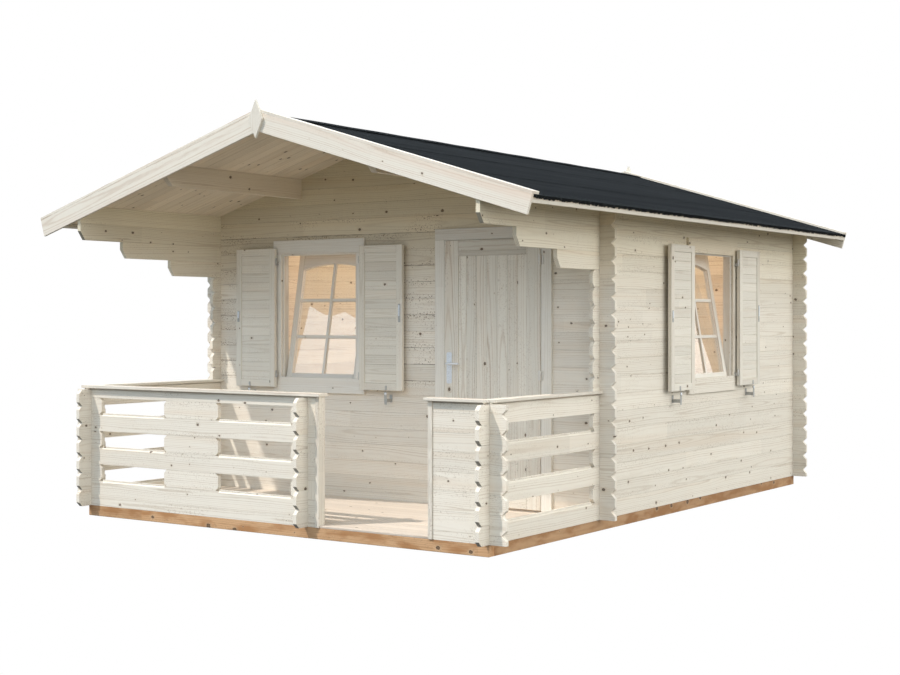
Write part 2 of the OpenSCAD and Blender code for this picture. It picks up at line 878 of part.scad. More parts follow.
module door_lever() {
  y0 = door_y - plate_t - pivot_clear;
  color("silver") placed() translate([handle_x, y0, handle_z]) {
    rotate([90, 0, 0]) cylinder(r = lever_r, h = lever_off + lever_r);
    translate([0, -lever_off, 0]) rotate([0, 90, 0]) cylinder(r = lever_r, h = lever_l);
  }
}

// Stands a window's pieces at the front wall and at the right wall, from the wall's outer face
module at_front_window() {
  translate([-front_window_x, porch_l, 0]) children();
}

module at_side_window() {
  translate([half_w, porch_l + side_window_y, 0]) rotate([0, 0, 90]) children();
}

module at_windows() {
  at_front_window() children();
  at_side_window() children();
}

module at_front_shutters() {
  at_front_window() translate([shutter_shift, 0, 0]) children();
}

module at_side_shutters() {
  at_side_window() translate([-shutter_shift, 0, 0]) children();
}

module at_shutters() {
  at_front_shutters() children();
  at_side_shutters() children();
}

module window_frames() {
  w = window_w / 2 - seat_clear;
  color("bisque") placed() at_windows()
    difference() {
      box([-w, 0, window_z0 + seat_clear], [w, frame_d, window_z1 - seat_clear]);
      box([-clear_w / 2, -overrun, window_z0 + frame_t],
        [clear_w / 2, frame_d + overrun, window_z1 - frame_t]);
    }
}

module window_trims() {
  x0 = clear_w / 2;
  x1 = x0 + trim_w;
  z0 = window_z0 + sill_lap - sill_board_h;
  z1 = window_z1 - frame_t;
  foot = z0 + sill_board_h;
  color("bisque") placed() at_windows() {
    box([-x1, -trim_t, z0], [x1, 0, foot]);
    box([-x1, -trim_t, z1], [x1, 0, z1 + head_trim_h]);
    for (x = [-x1, x0])
      box([x, -trim_t, foot + joint], [x + trim_w, 0, z1 - joint]);
  }
}

// Outline of a pane, from its foot to its arched head, with a clearance all round
module pane_outline(clear) {
  w = pane_w / 2 - clear;
  intersection() {
    translate([-w, clear]) square([w * 2, pane_h - clear * 2]);
    translate([0, pane_h - arch_r]) circle(r = arch_r - clear);
  }
}

// Tilts a sash's pieces inwards about the foot of its outer face
module tilted() {
  translate([0, sash_y, sash_foot_z]) rotate([-sash_tilt, 0, 0]) children();
}

module window_sashes() {
  color("bisque") placed() at_windows() tilted()
    translate([0, sash_t, 0]) rotate([90, 0, 0]) linear_extrude(sash_t)
      difference() {
        translate([-sash_out_w / 2, 0]) square([sash_out_w, sash_out_h]);
        translate([0, sash_w]) pane_outline(0);
      }
}

module window_glass() {
  color("lightblue", 0.4) placed() at_windows() tilted()
    translate([0, sash_t / 2 + glass_t / 2, sash_w]) rotate([90, 0, 0]) linear_extrude(glass_t)
      pane_outline(glass_clear);
}

module pintle_places() {
  for (share = pintle_shares)
    translate([pintle_x, pintle_y, shutter_z0 + shutter_h * share]) children();
}

// Fixed halves of the shutter hinges: a knuckle on an arm from the window's trim
module shutter_pintles() {
  color("silver") placed() at_shutters()
    for (side = [0, 1])
      mirror([side, 0, 0])
        pintle_places() {
          translate([0, 0, -pintle_h - pivot_clear]) cylinder(r = pintle_r, h = pintle_h);
          box([-pintle_r / 2, 0, -pintle_h - pivot_clear], [pintle_r / 2, -pintle_y - trim_t, -pivot_clear]);
        }
}

// Open shutter on the right of a window, with its hinge knuckles
module shutter() {
  x0 = pintle_x + pintle_reach;
  x1 = x0 + shutter_w;
  y0 = pintle_y - shutter_t / 2;
  y1 = pintle_y + shutter_t / 2;
  z1 = shutter_z0 + shutter_h;
  f = shutter_frame_w;
  difference() {
    box([x0, y0, shutter_z0], [x1, y1, z1]);
    for (y = [y0 - overrun, y1 - shutter_deep])
      box([x0 + f, y, shutter_z0 + f], [x1 - f, y + shutter_deep + overrun, z1 - f]);
  }
  pintle_places() {
    cylinder(r = pintle_r, h = pintle_h);
    box([0, -pintle_r / 2, 0], [pintle_reach, pintle_r / 2, pintle_h]);
  }
}

module front_left_shutter() {
  color("ivory") placed() at_front_shutters() mirror([1, 0, 0]) shutter();
}

module front_right_shutter() {
  color("ivory") placed() at_front_shutters() shutter();
}

module side_front_shutter() {
  color("ivory") placed() at_side_shutters() mirror([1, 0, 0]) shutter();
}

module side_rear_shutter() {
  color("ivory") placed() at_side_shutters() shutter();
}

// Catches under the open shutters, with their tongues turned down
module shutter_catches() {
  x = pintle_x + pintle_reach + shutter_w * catch_share;
  z1 = shutter_z0 - catch_drop;
  z0 = z1 - catch_h;
  arm_z = z0 + catch_h * catch_arm_share;
  reach = shutter_off + shutter_t + catch_t;
  color("silver") placed() at_shutters()
    for (side = [0, 1])
      mirror([side, 0, 0]) {
        box([x - catch_w / 2, -catch_t, z0], [x + catch_w / 2, 0, z1]);
        box([x - catch_w / 2, -reach, arm_z], [x + catch_w / 2, -catch_t, arm_z + catch_t]);
        box([x - catch_w / 2, -reach - catch_t, z0], [x + catch_w / 2, -reach, shutter_z0 - catch_clear]);
      }
}

base_end_beams();
base_side_beams();
floor_joists();
room_floor();
porch_floor();
left_wall_logs();
right_wall_logs();
front_wall_logs();
back_wall_logs();
front_gable_logs();
back_gable_logs();
front_rail_left_logs();
front_rail_right_logs();
rail_blocks();
rail_brace_logs();
rail_end_boards();
handrails();
purlins();
left_roof_boards();
right_roof_boards();
left_roof_felt();
right_roof_felt();
eaves_laths();
front_bargeboards();
back_bargeboards();
barge_battens();
finials();
door_frame();
door_trim();
door_threshold();
door_hinge_plates();
door_leaf();
door_hinges();
door_handle_plate();
door_lever();
window_frames();
window_trims();
window_sashes();
window_glass();
shutter_pintles();
shutter_catches();
front_left_shutter();
front_right_shutter();
side_front_shutter();
side_rear_shutter();
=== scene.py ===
import json
import math
import random

import bmesh
import bpy
from mathutils import Matrix, Vector


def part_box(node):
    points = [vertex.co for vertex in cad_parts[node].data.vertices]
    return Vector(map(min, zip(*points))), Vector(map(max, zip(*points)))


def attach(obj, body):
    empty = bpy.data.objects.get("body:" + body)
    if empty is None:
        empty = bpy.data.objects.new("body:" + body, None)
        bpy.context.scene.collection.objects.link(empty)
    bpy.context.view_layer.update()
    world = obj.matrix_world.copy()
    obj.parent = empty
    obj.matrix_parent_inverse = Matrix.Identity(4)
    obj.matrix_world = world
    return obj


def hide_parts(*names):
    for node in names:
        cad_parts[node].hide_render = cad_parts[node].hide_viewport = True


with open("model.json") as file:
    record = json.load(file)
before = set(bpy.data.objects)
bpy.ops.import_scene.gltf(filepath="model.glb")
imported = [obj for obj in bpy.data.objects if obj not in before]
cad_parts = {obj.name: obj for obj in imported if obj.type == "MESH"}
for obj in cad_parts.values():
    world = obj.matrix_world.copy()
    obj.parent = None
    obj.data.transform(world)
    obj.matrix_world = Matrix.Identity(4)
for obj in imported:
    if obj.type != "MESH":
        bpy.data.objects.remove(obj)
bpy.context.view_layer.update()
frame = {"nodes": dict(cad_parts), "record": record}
scene = bpy.context.scene
print("frame loaded,", len(frame["nodes"]), "nodes")

# Fixed places of the cabin, read from the frame, in metres
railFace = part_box("front_rail_left_logs")[0].y
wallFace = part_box("front_gable_logs")[0].y
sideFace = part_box("right_wall_logs")[1].x
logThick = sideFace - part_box("right_wall_logs")[0].x
xAxis, yAxis, zAxis = Vector((1, 0, 0)), Vector((0, 1, 0)), Vector((0, 0, 1))


# Camera, light and floor

cameraPlan = {
    "lens": 60.47,
    "sensor": 36.0,
    "shiftY": -0.02204,  # the picture's middle lies a little under the horizon
    "turn": 34.35,
    "place": (6.2997, -9.5617, 1.3613),
    "reach": 500.0,
}
cameraData = bpy.data.cameras.new("camera")
cameraData.lens = cameraPlan["lens"]
cameraData.sensor_width = cameraPlan["sensor"]
cameraData.sensor_fit = "HORIZONTAL"
cameraData.shift_y = cameraPlan["shiftY"]
cameraData.clip_end = cameraPlan["reach"]
camera = bpy.data.objects.new("camera", cameraData)
camera.location = cameraPlan["place"]
camera.rotation_euler = (math.pi / 2, 0, math.radians(cameraPlan["turn"]))
scene.collection.objects.link(camera)
scene.camera = camera
scene.view_settings.view_transform = "Standard"

lightPlan = {
    "keyTo": (-0.380, -0.486, 0.787),  # towards the light
    "keyPower": 2.7,
    "keyAngle": 1.2,
    "keyColour": (1.0, 0.91, 0.82),
    "sideTo": (0.93, 0.20, 0.22),
    "sidePower": 1.02,
    "sideAngle": 40.0,
    "sideColour": (1.0, 0.96, 0.88),
    "skyFront": (0.96, 1.15, 1.36),
    "skyLow": (0.46, 0.55, 0.62),  # the front sky near the horizon
    "skyRise": (0.0, 0.45),
    "skyRight": (1.20, 1.20, 1.18),
    "skyTurn": (-0.1, 0.6),
    "mirrored": (1.95, 2.4, 2.75),  # bright cloud before the porch, which the panes mirror
    "mirrorTurn": (-0.3, 0.3),
    "shine": 1.7,  # how much brighter satin steel sees the sky
    "porchPower": 1.6,
    "porchColour": (0.95, 1.0, 1.0),
    "porchPlace": (0.0, 0.15, 1.30),  # from the rail's face
    "porchSize": (2.9, 0.5),
    "porchTurn": 88.0,
    "roomPower": 46.0,
    "roomColour": (1.0, 0.83, 0.72),
    "roomPlace": (0.0, 1.75, 1.55),  # from the front wall's face
    "roomSoft": 0.35,
}


def addLamp(part, kind):
    data = bpy.data.lights.new(part + "Light", kind)
    data.energy = lightPlan[part + "Power"]
    data.color = lightPlan[part + "Colour"]
    lamp = bpy.data.objects.new(part + "Light", data)
    scene.collection.objects.link(lamp)
    return lamp


for part in ("key", "side"):
    sun = addLamp(part, "SUN")
    sun.data.angle = math.radians(lightPlan[part + "Angle"])
    sun.rotation_euler = Vector(lightPlan[part + "To"]).to_track_quat("Z", "Y").to_euler()

# Lamps that only light what is round them: one in the room, one along the porch
roomLight, porchLight = addLamp("room", "POINT"), addLamp("porch", "AREA")
roomLight.data.shadow_soft_size = lightPlan["roomSoft"]
roomLight.location = Vector(lightPlan["roomPlace"]) + yAxis * wallFace
porchLight.data.shape = "RECTANGLE"
porchLight.data.size, porchLight.data.size_y = lightPlan["porchSize"]
porchLight.location = Vector(lightPlan["porchPlace"]) + yAxis * railFace
porchLight.rotation_euler = (math.radians(lightPlan["porchTurn"]), 0, 0)
for lamp in (roomLight, porchLight):
    lamp.visible_camera = lamp.visible_glossy = lamp.visible_transmission = False


# Shader building blocks

def feed(tree, socket, value):
    if isinstance(value, bpy.types.NodeSocket):
        tree.links.new(value, socket)
    else:
        socket.default_value = value


def addNode(tree, kind, inputs=None, **settings):
    node = tree.nodes.new("ShaderNode" + kind)
    for name, value in settings.items():
        setattr(node, name, value)
    for name, value in (inputs or {}).items():
        feed(tree, node.inputs[name], value)
    return node


def calc(tree, operation, *values):
    node = addNode(tree, "Math", operation=operation)
    for socket, value in zip(node.inputs, values):
        feed(tree, socket, value)
    return node.outputs[0]


def times(tree, first, second):
    return calc(tree, "MULTIPLY", first, second)


def timesPlus(tree, first, second, third):
    return calc(tree, "MULTIPLY_ADD", first, second, third)


def calcVector(tree, operation, first, second=(0, 0, 0)):
    node = addNode(tree, "VectorMath", operation=operation)
    feed(tree, node.inputs[0], first)
    feed(tree, node.inputs[1], second)
    return node.outputs["Value" if operation == "LENGTH" else "Vector"]


def ramp(tree, value, low, high, start=0.0, end=1.0):
    node = addNode(tree, "MapRange", interpolation_type="SMOOTHSTEP")
    for socket, given in zip(node.inputs, (value, low, high, start, end)):
        feed(tree, socket, given)
    return node.outputs["Result"]


# A plain colour gets its alpha, a socket stays as it is
def opaque(colour):
    return colour if isinstance(colour, bpy.types.NodeSocket) else (*colour, 1.0)


def mixColour(tree, share, first, second, mode="MIX"):
    node = addNode(tree, "Mix", data_type="RGBA", blend_type=mode)
    feed(tree, node.inputs[0], share)
    feed(tree, node.inputs[6], opaque(first))
    feed(tree, node.inputs[7], opaque(second))
    return node.outputs[2]


def noise(tree, place, scale, detail=2.0, output="Fac"):
    stretched = calcVector(tree, "MULTIPLY", place, scale)
    return addNode(tree, "TexNoise", {"Vector": stretched, "Scale": 1.0, "Detail": detail}).outputs[output]


def attribute(tree, name, output="Vector"):
    return addNode(tree, "Attribute", attribute_name=name).outputs[output]


def objectPlace(tree):
    return addNode(tree, "TexCoord").outputs["Object"]


def axesOf(tree, vector):
    return addNode(tree, "SeparateXYZ", {"Vector": vector}).outputs


def bump(tree, height, strength, depth):
    return addNode(tree, "Bump", {"Height": height, "Strength": strength, "Distance": depth}).outputs["Normal"]


def newGroup(name, inputs, outputs):
    tree = bpy.data.node_groups.new(name, "ShaderNodeTree")
    for label, kind in inputs.items():
        tree.interface.new_socket(name=label, in_out="INPUT", socket_type="NodeSocket" + kind)
    for label in outputs:
        tree.interface.new_socket(name=label, in_out="OUTPUT", socket_type="NodeSocketFloat")
    return tree, tree.nodes.new("NodeGroupInput").outputs, tree.nodes.new("NodeGroupOutput").inputs


def closeGroup(tree, sockets, results):
    for label, value in results.items():
        tree.links.new(value, sockets[label])


def useGroup(tree, group, inputs):
    return addNode(tree, "Group", inputs, node_tree=group).outputs


def newMaterial(name):
    material = bpy.data.materials.new(name)
    material.use_nodes = True
    tree = material.node_tree
    return material, tree, tree.nodes["Principled BSDF"]


def setShader(tree, shader, values):
    for name, value in values.items():
        feed(tree, shader.inputs[name], value)


# Another shader takes over for the rays that a value picks
def swapShader(tree, pick, shader, other):
    both = addNode(tree, "MixShader")
    for socket, source in zip(both.inputs, (pick, shader.outputs[0], other.outputs[0])):
        tree.links.new(source, socket)
    tree.links.new(both.outputs[0], tree.nodes["Material Output"].inputs["Surface"])


# Knots scattered over a board: each cell of the figure holds at most one
knotPlan = {
    "cell": (0.23, 0.072),  # metres along and across the grain
    "stretch": 0.72,  # knots are longer along the grain
    "wobble": (90, 160, 60),
    "wobbleBase": 0.55,
    "least": 0.22,  # the smallest knots' share of the full size
    "solid": 0.8,
    "core": (0.3, 0.75),
    "halo": (1.8, 0.005),
}


def makeKnotGroup():
    tree, given, out = newGroup("knots", {"Grain": "Vector", "Share": "Float", "Size": "Float"},
                                ("Knot", "Rim", "Halo"))
    long, wide = knotPlan["cell"]
    cells = calcVector(tree, "DIVIDE", given["Grain"], (long, wide, 1.0))
    spots = addNode(tree, "TexVoronoi", {"Vector": cells, "Scale": 1.0}, voronoi_dimensions="2D").outputs
    away = calcVector(tree, "SUBTRACT", cells, spots["Position"])
    away = calcVector(tree, "MULTIPLY", away, (long * knotPlan["stretch"], wide, 0.0))
    wobble = calc(tree, "ADD", noise(tree, given["Grain"], knotPlan["wobble"], 1.0), knotPlan["wobbleBase"])
    distance = times(tree, calcVector(tree, "LENGTH", away), wobble)
    draw = addNode(tree, "SeparateColor", {"Color": spots["Color"]}).outputs
    there = calc(tree, "LESS_THAN", draw["Green"], given["Share"])
    size = calc(tree, "ADD", calc(tree, "POWER", draw["Red"], 2.0), knotPlan["least"])
    size = times(tree, given["Size"], size)
    knot = ramp(tree, distance, times(tree, size, knotPlan["solid"]), size, 1.0, 0.0)
    core = ramp(tree, distance, *(times(tree, size, share) for share in knotPlan["core"]), 1.0, 0.0)
    halo = ramp(tree, distance, size, timesPlus(tree, size, *knotPlan["halo"]), 1.0, 0.0)
    closeGroup(tree, out, {
        "Knot": times(tree, knot, there),
        "Rim": times(tree, calc(tree, "SUBTRACT", knot, core), there),
        "Halo": times(tree, halo, there),
    })
    return tree


# Growth rings around a pith that wanders along the board, with fibres and heartwood streaks
grainPlan = {
    "drift": (0.9, 2.2, 2.2),
    "driftBy": (0.0, 0.05, 0.05),
    "fray": (14, 120, 120),
    "frayBy": (0.0, 0.0035, 0.0035),
    "knotBend": 0.011,  # metres that the rings give way at a knot
    "lineSharp": 4.5,
    "years": 0.55,
    "yearLimits": (0.3, 0.7, 0.2, 1.0),
    "toneLength": 1.35,
    "fibre": (7, 300, 300),
    "heart": (0.33, 11, 11),
    "heartLimits": (0.52, 0.74),
    "fleck": (95, 110, 110),
    "fleckLimits": (0.565, 0.65),
    "patch": (2.2, 9, 9),  # places with flecks
    "patchLimits": (0.40, 0.58),
    "mottle": (5, 15, 15),
    "mottleLimits": (0.42, 0.66),
}


def makeGrainGroup():
    tree, given, out = newGroup("grain", {"Grain": "Vector", "Gap": "Float", "Bend": "Float"},
                                ("Rings", "Fibre", "Heart", "Length tone", "Flecks", "Mottle"))
    place = given["Grain"]

    def marks(name, detail):
        return ramp(tree, noise(tree, given["Grain"], grainPlan[name], detail), *grainPlan[name + "Limits"])

    for way in ("drift", "fray"):
        move = noise(tree, given["Grain"], grainPlan[way], 1.0, "Color")
        move = calcVector(tree, "SUBTRACT", move, (0.5, 0.5, 0.5))
        place = calcVector(tree, "ADD", place, calcVector(tree, "MULTIPLY", move, grainPlan[way + "By"]))
    radius = calcVector(tree, "LENGTH", calcVector(tree, "MULTIPLY", place, (0, 1, 1)))
    radius = timesPlus(tree, given["Bend"], grainPlan["knotBend"], radius)
    turns = calc(tree, "DIVIDE", radius, given["Gap"])
    wave = calc(tree, "SINE", times(tree, turns, math.tau))
    line = calc(tree, "POWER", timesPlus(tree, wave, 0.5, 0.5), grainPlan["lineSharp"])
    years = addNode(tree, "TexNoise", {"W": turns, "Scale": grainPlan["years"], "Detail": 1.0}, noise_dimensions="1D")
    piece = calc(tree, "FLOOR", calc(tree, "DIVIDE", axesOf(tree, given["Grain"])["X"], grainPlan["toneLength"]))
    closeGroup(tree, out, {
        "Rings": times(tree, line, ramp(tree, years.outputs["Fac"], *grainPlan["yearLimits"])),
        "Fibre": noise(tree, given["Grain"], grainPlan["fibre"], 3.0),
        "Heart": marks("heart", 3.0),
        "Length tone": addNode(tree, "TexWhiteNoise", {"W": piece}, noise_dimensions="1D").outputs["Value"],
        "Flecks": times(tree, marks("fleck", 2.0), marks("patch", 2.0)),
        "Mottle": marks("mottle", 3.0),
    })
    return tree


knotGroup = makeKnotGroup()
grainGroup = makeGrainGroup()

# Spruce and pine, planed or sawn: each finish names what differs from plain wood
plainWood = {"late": (0.50, 0.41, 0.31), "heart": (0.77, 0.66, 0.53), "gap": 0.0105, "rings": 0.5, "heartShare": 0.4,
             "mottle": 0.1, "spread": 0.14, "knots": 0.12, "knotSize": 0.0085, "seam": 0.1, "flecks": 0.1}
timberFinishes = {
    "log": {"pale": (0.84, 0.80, 0.71), "rings": 0.6, "spread": 0.18, "knots": 0.30, "seam": 0.22, "flecks": 0.35,
            "warmBounce": (0.97, 0.94, 0.80)},
    "front": {"pale": (0.84, 0.80, 0.72), "rings": 0.6, "mottle": 0.15, "spread": 0.18, "knots": 0.26, "seam": 0.9,
              "flecks": 0.9, "warmBounce": (0.79, 0.735, 0.585), "worn": (0.36, 0.95)},
    "gable": {"pale": (0.84, 0.80, 0.72), "knots": 0.26, "seam": 0.3, "flecks": 0.2, "warmBounce": (0.79, 0.735, 0.585)},
    # Roof boards: darker and browner, partly a lower grade of board and partly painted shade for the ceiling under
    # the roof
    "roof_wood": {"pale": (0.79, 0.70, 0.56), "late": (0.50, 0.39, 0.26), "heart": (0.68, 0.55, 0.40), "gap": 0.0095,
                  "spread": 0.2, "knots": 0.34, "knotSize": 0.010, "seam": 0.2},
    "trim": {"pale": (0.80, 0.765, 0.68), "late": (0.54, 0.43, 0.33), "heart": (0.76, 0.62, 0.51), "rings": 0.75,
             "heartShare": 0.6, "knotSize": 0.006},
    "joinery": {"pale": (0.83, 0.81, 0.75), "late": (0.60, 0.52, 0.43), "heart": (0.77, 0.69, 0.60), "gap": 0.0085,
                "rings": 0.45, "heartShare": 0.35, "mottle": 0.05, "spread": 0.12, "knots": 0.10, "knotSize": 0.006},
    "door": {"pale": (0.815, 0.79, 0.715), "late": (0.50, 0.41, 0.32), "heart": (0.74, 0.64, 0.53), "rings": 0.8,
             "heartShare": 0.35, "spread": 0.16, "knots": 0.18, "knotSize": 0.0090, "seam": 0.12, "flecks": 0.25},
    "shutter": {"pale": (0.80, 0.77, 0.69), "late": (0.53, 0.45, 0.34), "heart": (0.75, 0.66, 0.55), "gap": 0.0095,
                "rings": 0.45, "heartShare": 0.35, "knotSize": 0.0095, "flecks": 0.15},
    "floor": {"pale": (0.75, 0.67, 0.58), "late": (0.58, 0.46, 0.35), "heart": (0.74, 0.62, 0.50), "gap": 0.0095,
              "spread": 0.22, "knots": 0.2, "knotSize": 0.009, "seam": 0.4},
    "base": {"pale": (0.56, 0.355, 0.20), "late": (0.30, 0.15, 0.06), "heart": (0.36, 0.18, 0.075), "gap": 0.0120,
             "mottle": 0.85, "spread": 0.4, "knots": 0.4, "knotSize": 0.013, "seam": 0.2, "flecks": 0.4},
}
# Nodes with a finish of their own within their slot
ownFinish = {"front_wall_logs": "front", "front_gable_logs": "gable", "back_gable_logs": "gable",
             "door_frame": "joinery", "door_trim": "joinery", "window_trims": "joinery",
             "door_hinge_plates": "hinge", "door_hinges": "hinge", "finials": "shutter",
             "shutter_pintles": "catch", "shutter_catches": "catch"}
timberPlan = {
    "rim": (0.055, 0.042, 0.032),
    "core": (0.15, 0.095, 0.058),
    "halo": (0.58, 0.47, 0.33),
    "fleck": (0.24, 0.16, 0.10),
    "seam": (0.19, 0.13, 0.085),
    "warmBounceHeights": (1.35, 2.3),  # painted warm bounce light: wood high under the roof grows warmer between these heights
    "toneShare": 0.55,
    "lengthShare": 0.45,
    "fibreShare": 0.35,
    "shareMean": 0.675,
    "haloShare": 0.25,
    "knotShare": 0.88,
    "fleckReach": (0.004, 0.055, 1.0, 0.35),  # metres from a board's long edge, then the shares there
    "seamReach": (0.0006, 0.0042),
    "seamBreaks": (((14, 90, 90), 3.0, (0.36, 0.58, 0.25, 1.0)), ((1.6, 6, 6), 2.0, (0.36, 0.56, 0.3, 1.0))),
    "wornFade": (0.1, 0.15),
    "wornLeast": 0.15,
    "rough": (0.16, 0.56),
    "roughRings": -0.15,
    "specular": 0.2,
    "ringDepth": -0.5,
    "knotRise": 0.5,
    "bump": (0.35, 0.0008),
}


def makeTimber(slot, finish):
    plan = timberPlan
    material, tree, shader = newMaterial(slot + "Timber")
    place = attribute(tree, "grain")
    knots = useGroup(tree, knotGroup, {"Grain": place, "Share": finish["knots"], "Size": finish["knotSize"]})
    grain = useGroup(tree, grainGroup, {"Grain": place, "Gap": finish["gap"], "Bend": knots["Halo"]})
    rings = times(tree, grain["Rings"], finish["rings"])
    colour = mixColour(tree, rings, finish["pale"], finish["late"])
    for streak, share in (("Heart", "heartShare"), ("Mottle", "mottle")):
        colour = mixColour(tree, times(tree, grain[streak], finish[share]), colour, finish["heart"])
    shade = times(tree, attribute(tree, "tone", "Fac"), plan["toneShare"])
    shade = calc(tree, "ADD", shade, times(tree, grain["Length tone"], plan["lengthShare"]))
    shade = timesPlus(tree, grain["Fibre"], plan["fibreShare"], shade)
    shade = timesPlus(tree, calc(tree, "SUBTRACT", shade, plan["shareMean"]), finish["spread"], 1.0)
    colour = mixColour(tree, 1.0, colour, shade, "MULTIPLY")
    where = axesOf(tree, objectPlace(tree))
    # Painted warm bounce light, which grows towards the roof
    if "warmBounce" in finish:
        colour = mixColour(tree, ramp(tree, where["Z"], *plan["warmBounceHeights"]), colour,
                           calcVector(tree, "MULTIPLY", colour, finish["warmBounce"]))
    colour = mixColour(tree, times(tree, knots["Halo"], plan["haloShare"]), colour, plan["halo"])
    # Torn fibres and dirt towards a board's long edges
    board = axesOf(tree, attribute(tree, "board"))
    inside = times(tree, calc(tree, "SUBTRACT", 1.0, calc(tree, "ABSOLUTE", board["X"])), board["Y"])
    flecks = times(tree, grain["Flecks"], ramp(tree, inside, *plan["fleckReach"]))
    flecks = times(tree, flecks, finish["flecks"])
    seam = ramp(tree, inside, *plan["seamReach"], finish["seam"], 0.0)
    for scale, detail, limits in plan["seamBreaks"]:
        seam = times(tree, seam, ramp(tree, noise(tree, place, scale, detail), *limits))
    if "worn" in finish:
        # Dirt gathers beside the door, on its handle side and over rail height
        (x, z), (wide, high) = finish["worn"], plan["wornFade"]
        side = times(tree, ramp(tree, where["X"], x, x + wide, 1.0, plan["wornLeast"]),
                     ramp(tree, where["Z"], z - high, z, plan["wornLeast"], 1.0))
        flecks, seam = times(tree, flecks, side), times(tree, seam, side)
    colour = mixColour(tree, flecks, colour, plan["fleck"])
    colour = mixColour(tree, seam, colour, plan["seam"])
    bark = mixColour(tree, knots["Rim"], plan["core"], plan["rim"])
    height = timesPlus(tree, rings, plan["ringDepth"], grain["Fibre"])
    height = timesPlus(tree, knots["Knot"], plan["knotRise"], height)
    setShader(tree, shader, {
        "Base Color": mixColour(tree, times(tree, knots["Knot"], plan["knotShare"]), colour, bark),
        "Roughness": timesPlus(tree, rings, plan["roughRings"], timesPlus(tree, grain["Fibre"], *plan["rough"])),
        "Specular IOR Level": plan["specular"],
        "Normal": bump(tree, height, *plan["bump"]),
    })
    return material


# Mineral felt: charcoal grit with streaks where the roll lies along the ridge
feltFinish = {
    "dark": (0.0040, 0.0044, 0.0047),
    "pale": (0.0160, 0.0176, 0.0184),
    # Scale, detail, limits and share of the streaks, the clouds and the grit
    "layers": (((14, 0.5, 14), 4.0, (0.3, 0.75), 0.5), ((2.2, 0.6, 2.2), 2.0, (0.3, 0.7), 0.22),
               ((420, 420, 420), 2.0, (0.4, 0.65), 0.3)),
    "loose": (0.085, 0.092, 0.096),  # pale grit that has washed down to the eaves
    "looseScale": (80, 80, 80),
    "looseLimits": (0.56, 0.66, 0.0, 0.36),
    "eaves": (1.80, 1.99),
    "rough": (0.2, 0.78),
    "specular": 0.01,
    "bump": (0.6, 0.0015),
}


def makeFelt():
    finish = feltFinish
    material, tree, shader = newMaterial("mineralFelt")
    place = objectPlace(tree)
    share = 0.0
    # The last layer is the grit, which also makes the sheet rough
    for scale, detail, limits, part in finish["layers"]:
        grit = noise(tree, place, scale, detail)
        share = timesPlus(tree, ramp(tree, grit, *limits), part, share)
    colour = mixColour(tree, share, finish["dark"], finish["pale"])
    low = ramp(tree, calc(tree, "ABSOLUTE", axesOf(tree, place)["X"]), *finish["eaves"])
    loose = ramp(tree, noise(tree, place, finish["looseScale"]), *finish["looseLimits"])
    setShader(tree, shader, {
        "Base Color": mixColour(tree, times(tree, low, loose), colour, finish["loose"]),
        "Roughness": timesPlus(tree, grit, *finish["rough"]),
        "Specular IOR Level": finish["specular"],
        "Normal": bump(tree, grit, *finish["bump"]),
    })
    return material


steelFinishes = {
    "steel": {"bright": (0.88, 0.91, 0.95), "dull": (0.60, 0.63, 0.67), "metallic": 0.5},
    "hinge": {"bright": (0.80, 0.77, 0.71), "dull": (0.66, 0.63, 0.57), "metallic": 0.3},
    "catch": {"bright": (0.54, 0.54, 0.52), "dull": (0.36, 0.365, 0.36), "metallic": 0.3},
}
steelPlan = {"flakes": 260.0, "flakeShare": 0.45, "brush": (900, 900, 60), "brushShare": 0.5, "rough": (0.22, 0.28),
             "bump": (0.2, 0.0004)}


def makeSteel(name, finish):
    material, tree, shader = newMaterial(name + "Zinc")
    place = objectPlace(tree)
    flakes = addNode(tree, "TexVoronoi", {"Vector": place, "Scale": steelPlan["flakes"]}).outputs["Color"]
    flake = addNode(tree, "SeparateColor", {"Color": flakes}).outputs["Red"]
    brushed = noise(tree, place, steelPlan["brush"])
    share = timesPlus(tree, flake, steelPlan["flakeShare"], times(tree, brushed, steelPlan["brushShare"]))
    setShader(tree, shader, {
        "Base Color": mixColour(tree, share, finish["bright"], finish["dull"]),
        "Roughness": timesPlus(tree, brushed, *steelPlan["rough"]),
        "Metallic": finish["metallic"],
        "Normal": bump(tree, brushed, *steelPlan["bump"]),
    })
    return material


# Clear pane: light for the room passes straight through, the eye sees glass
glassFinish = {"clean": (0.97, 0.99, 0.98), "film": (0.93, 0.96, 0.96), "scale": (5, 5, 5), "index": 1.6}


def makeGlass():
    material, tree, shader = newMaterial("clearGlass")
    film = noise(tree, objectPlace(tree), glassFinish["scale"])
    setShader(tree, shader, {
        "Base Color": mixColour(tree, film, glassFinish["clean"], glassFinish["film"]),
        "Roughness": 0.0,
        "IOR": glassFinish["index"],
        "Transmission Weight": 1.0,
    })
    path = addNode(tree, "LightPath").outputs
    passing = calc(tree, "MAXIMUM", path["Is Shadow Ray"], path["Is Diffuse Ray"])
    swapShader(tree, passing, shader, addNode(tree, "BsdfTransparent"))
    return material


materials = {slot: makeTimber(slot, {**plainWood, **finish}) for slot, finish in timberFinishes.items()}
materials.update({slot: makeSteel(slot, finish) for slot, finish in steelFinishes.items()})
materials.update(felt=makeFelt(), glass=makeGlass())

# Every CAD node gets the material of its slot
for row in frame["record"]["subparts"]:
    data = frame["nodes"][row["node"]].data
    data.materials.clear()
    data.materials.append(materials[ownFinish.get(row["node"], row["material_slot"])])
print("materials made:", len(materials))

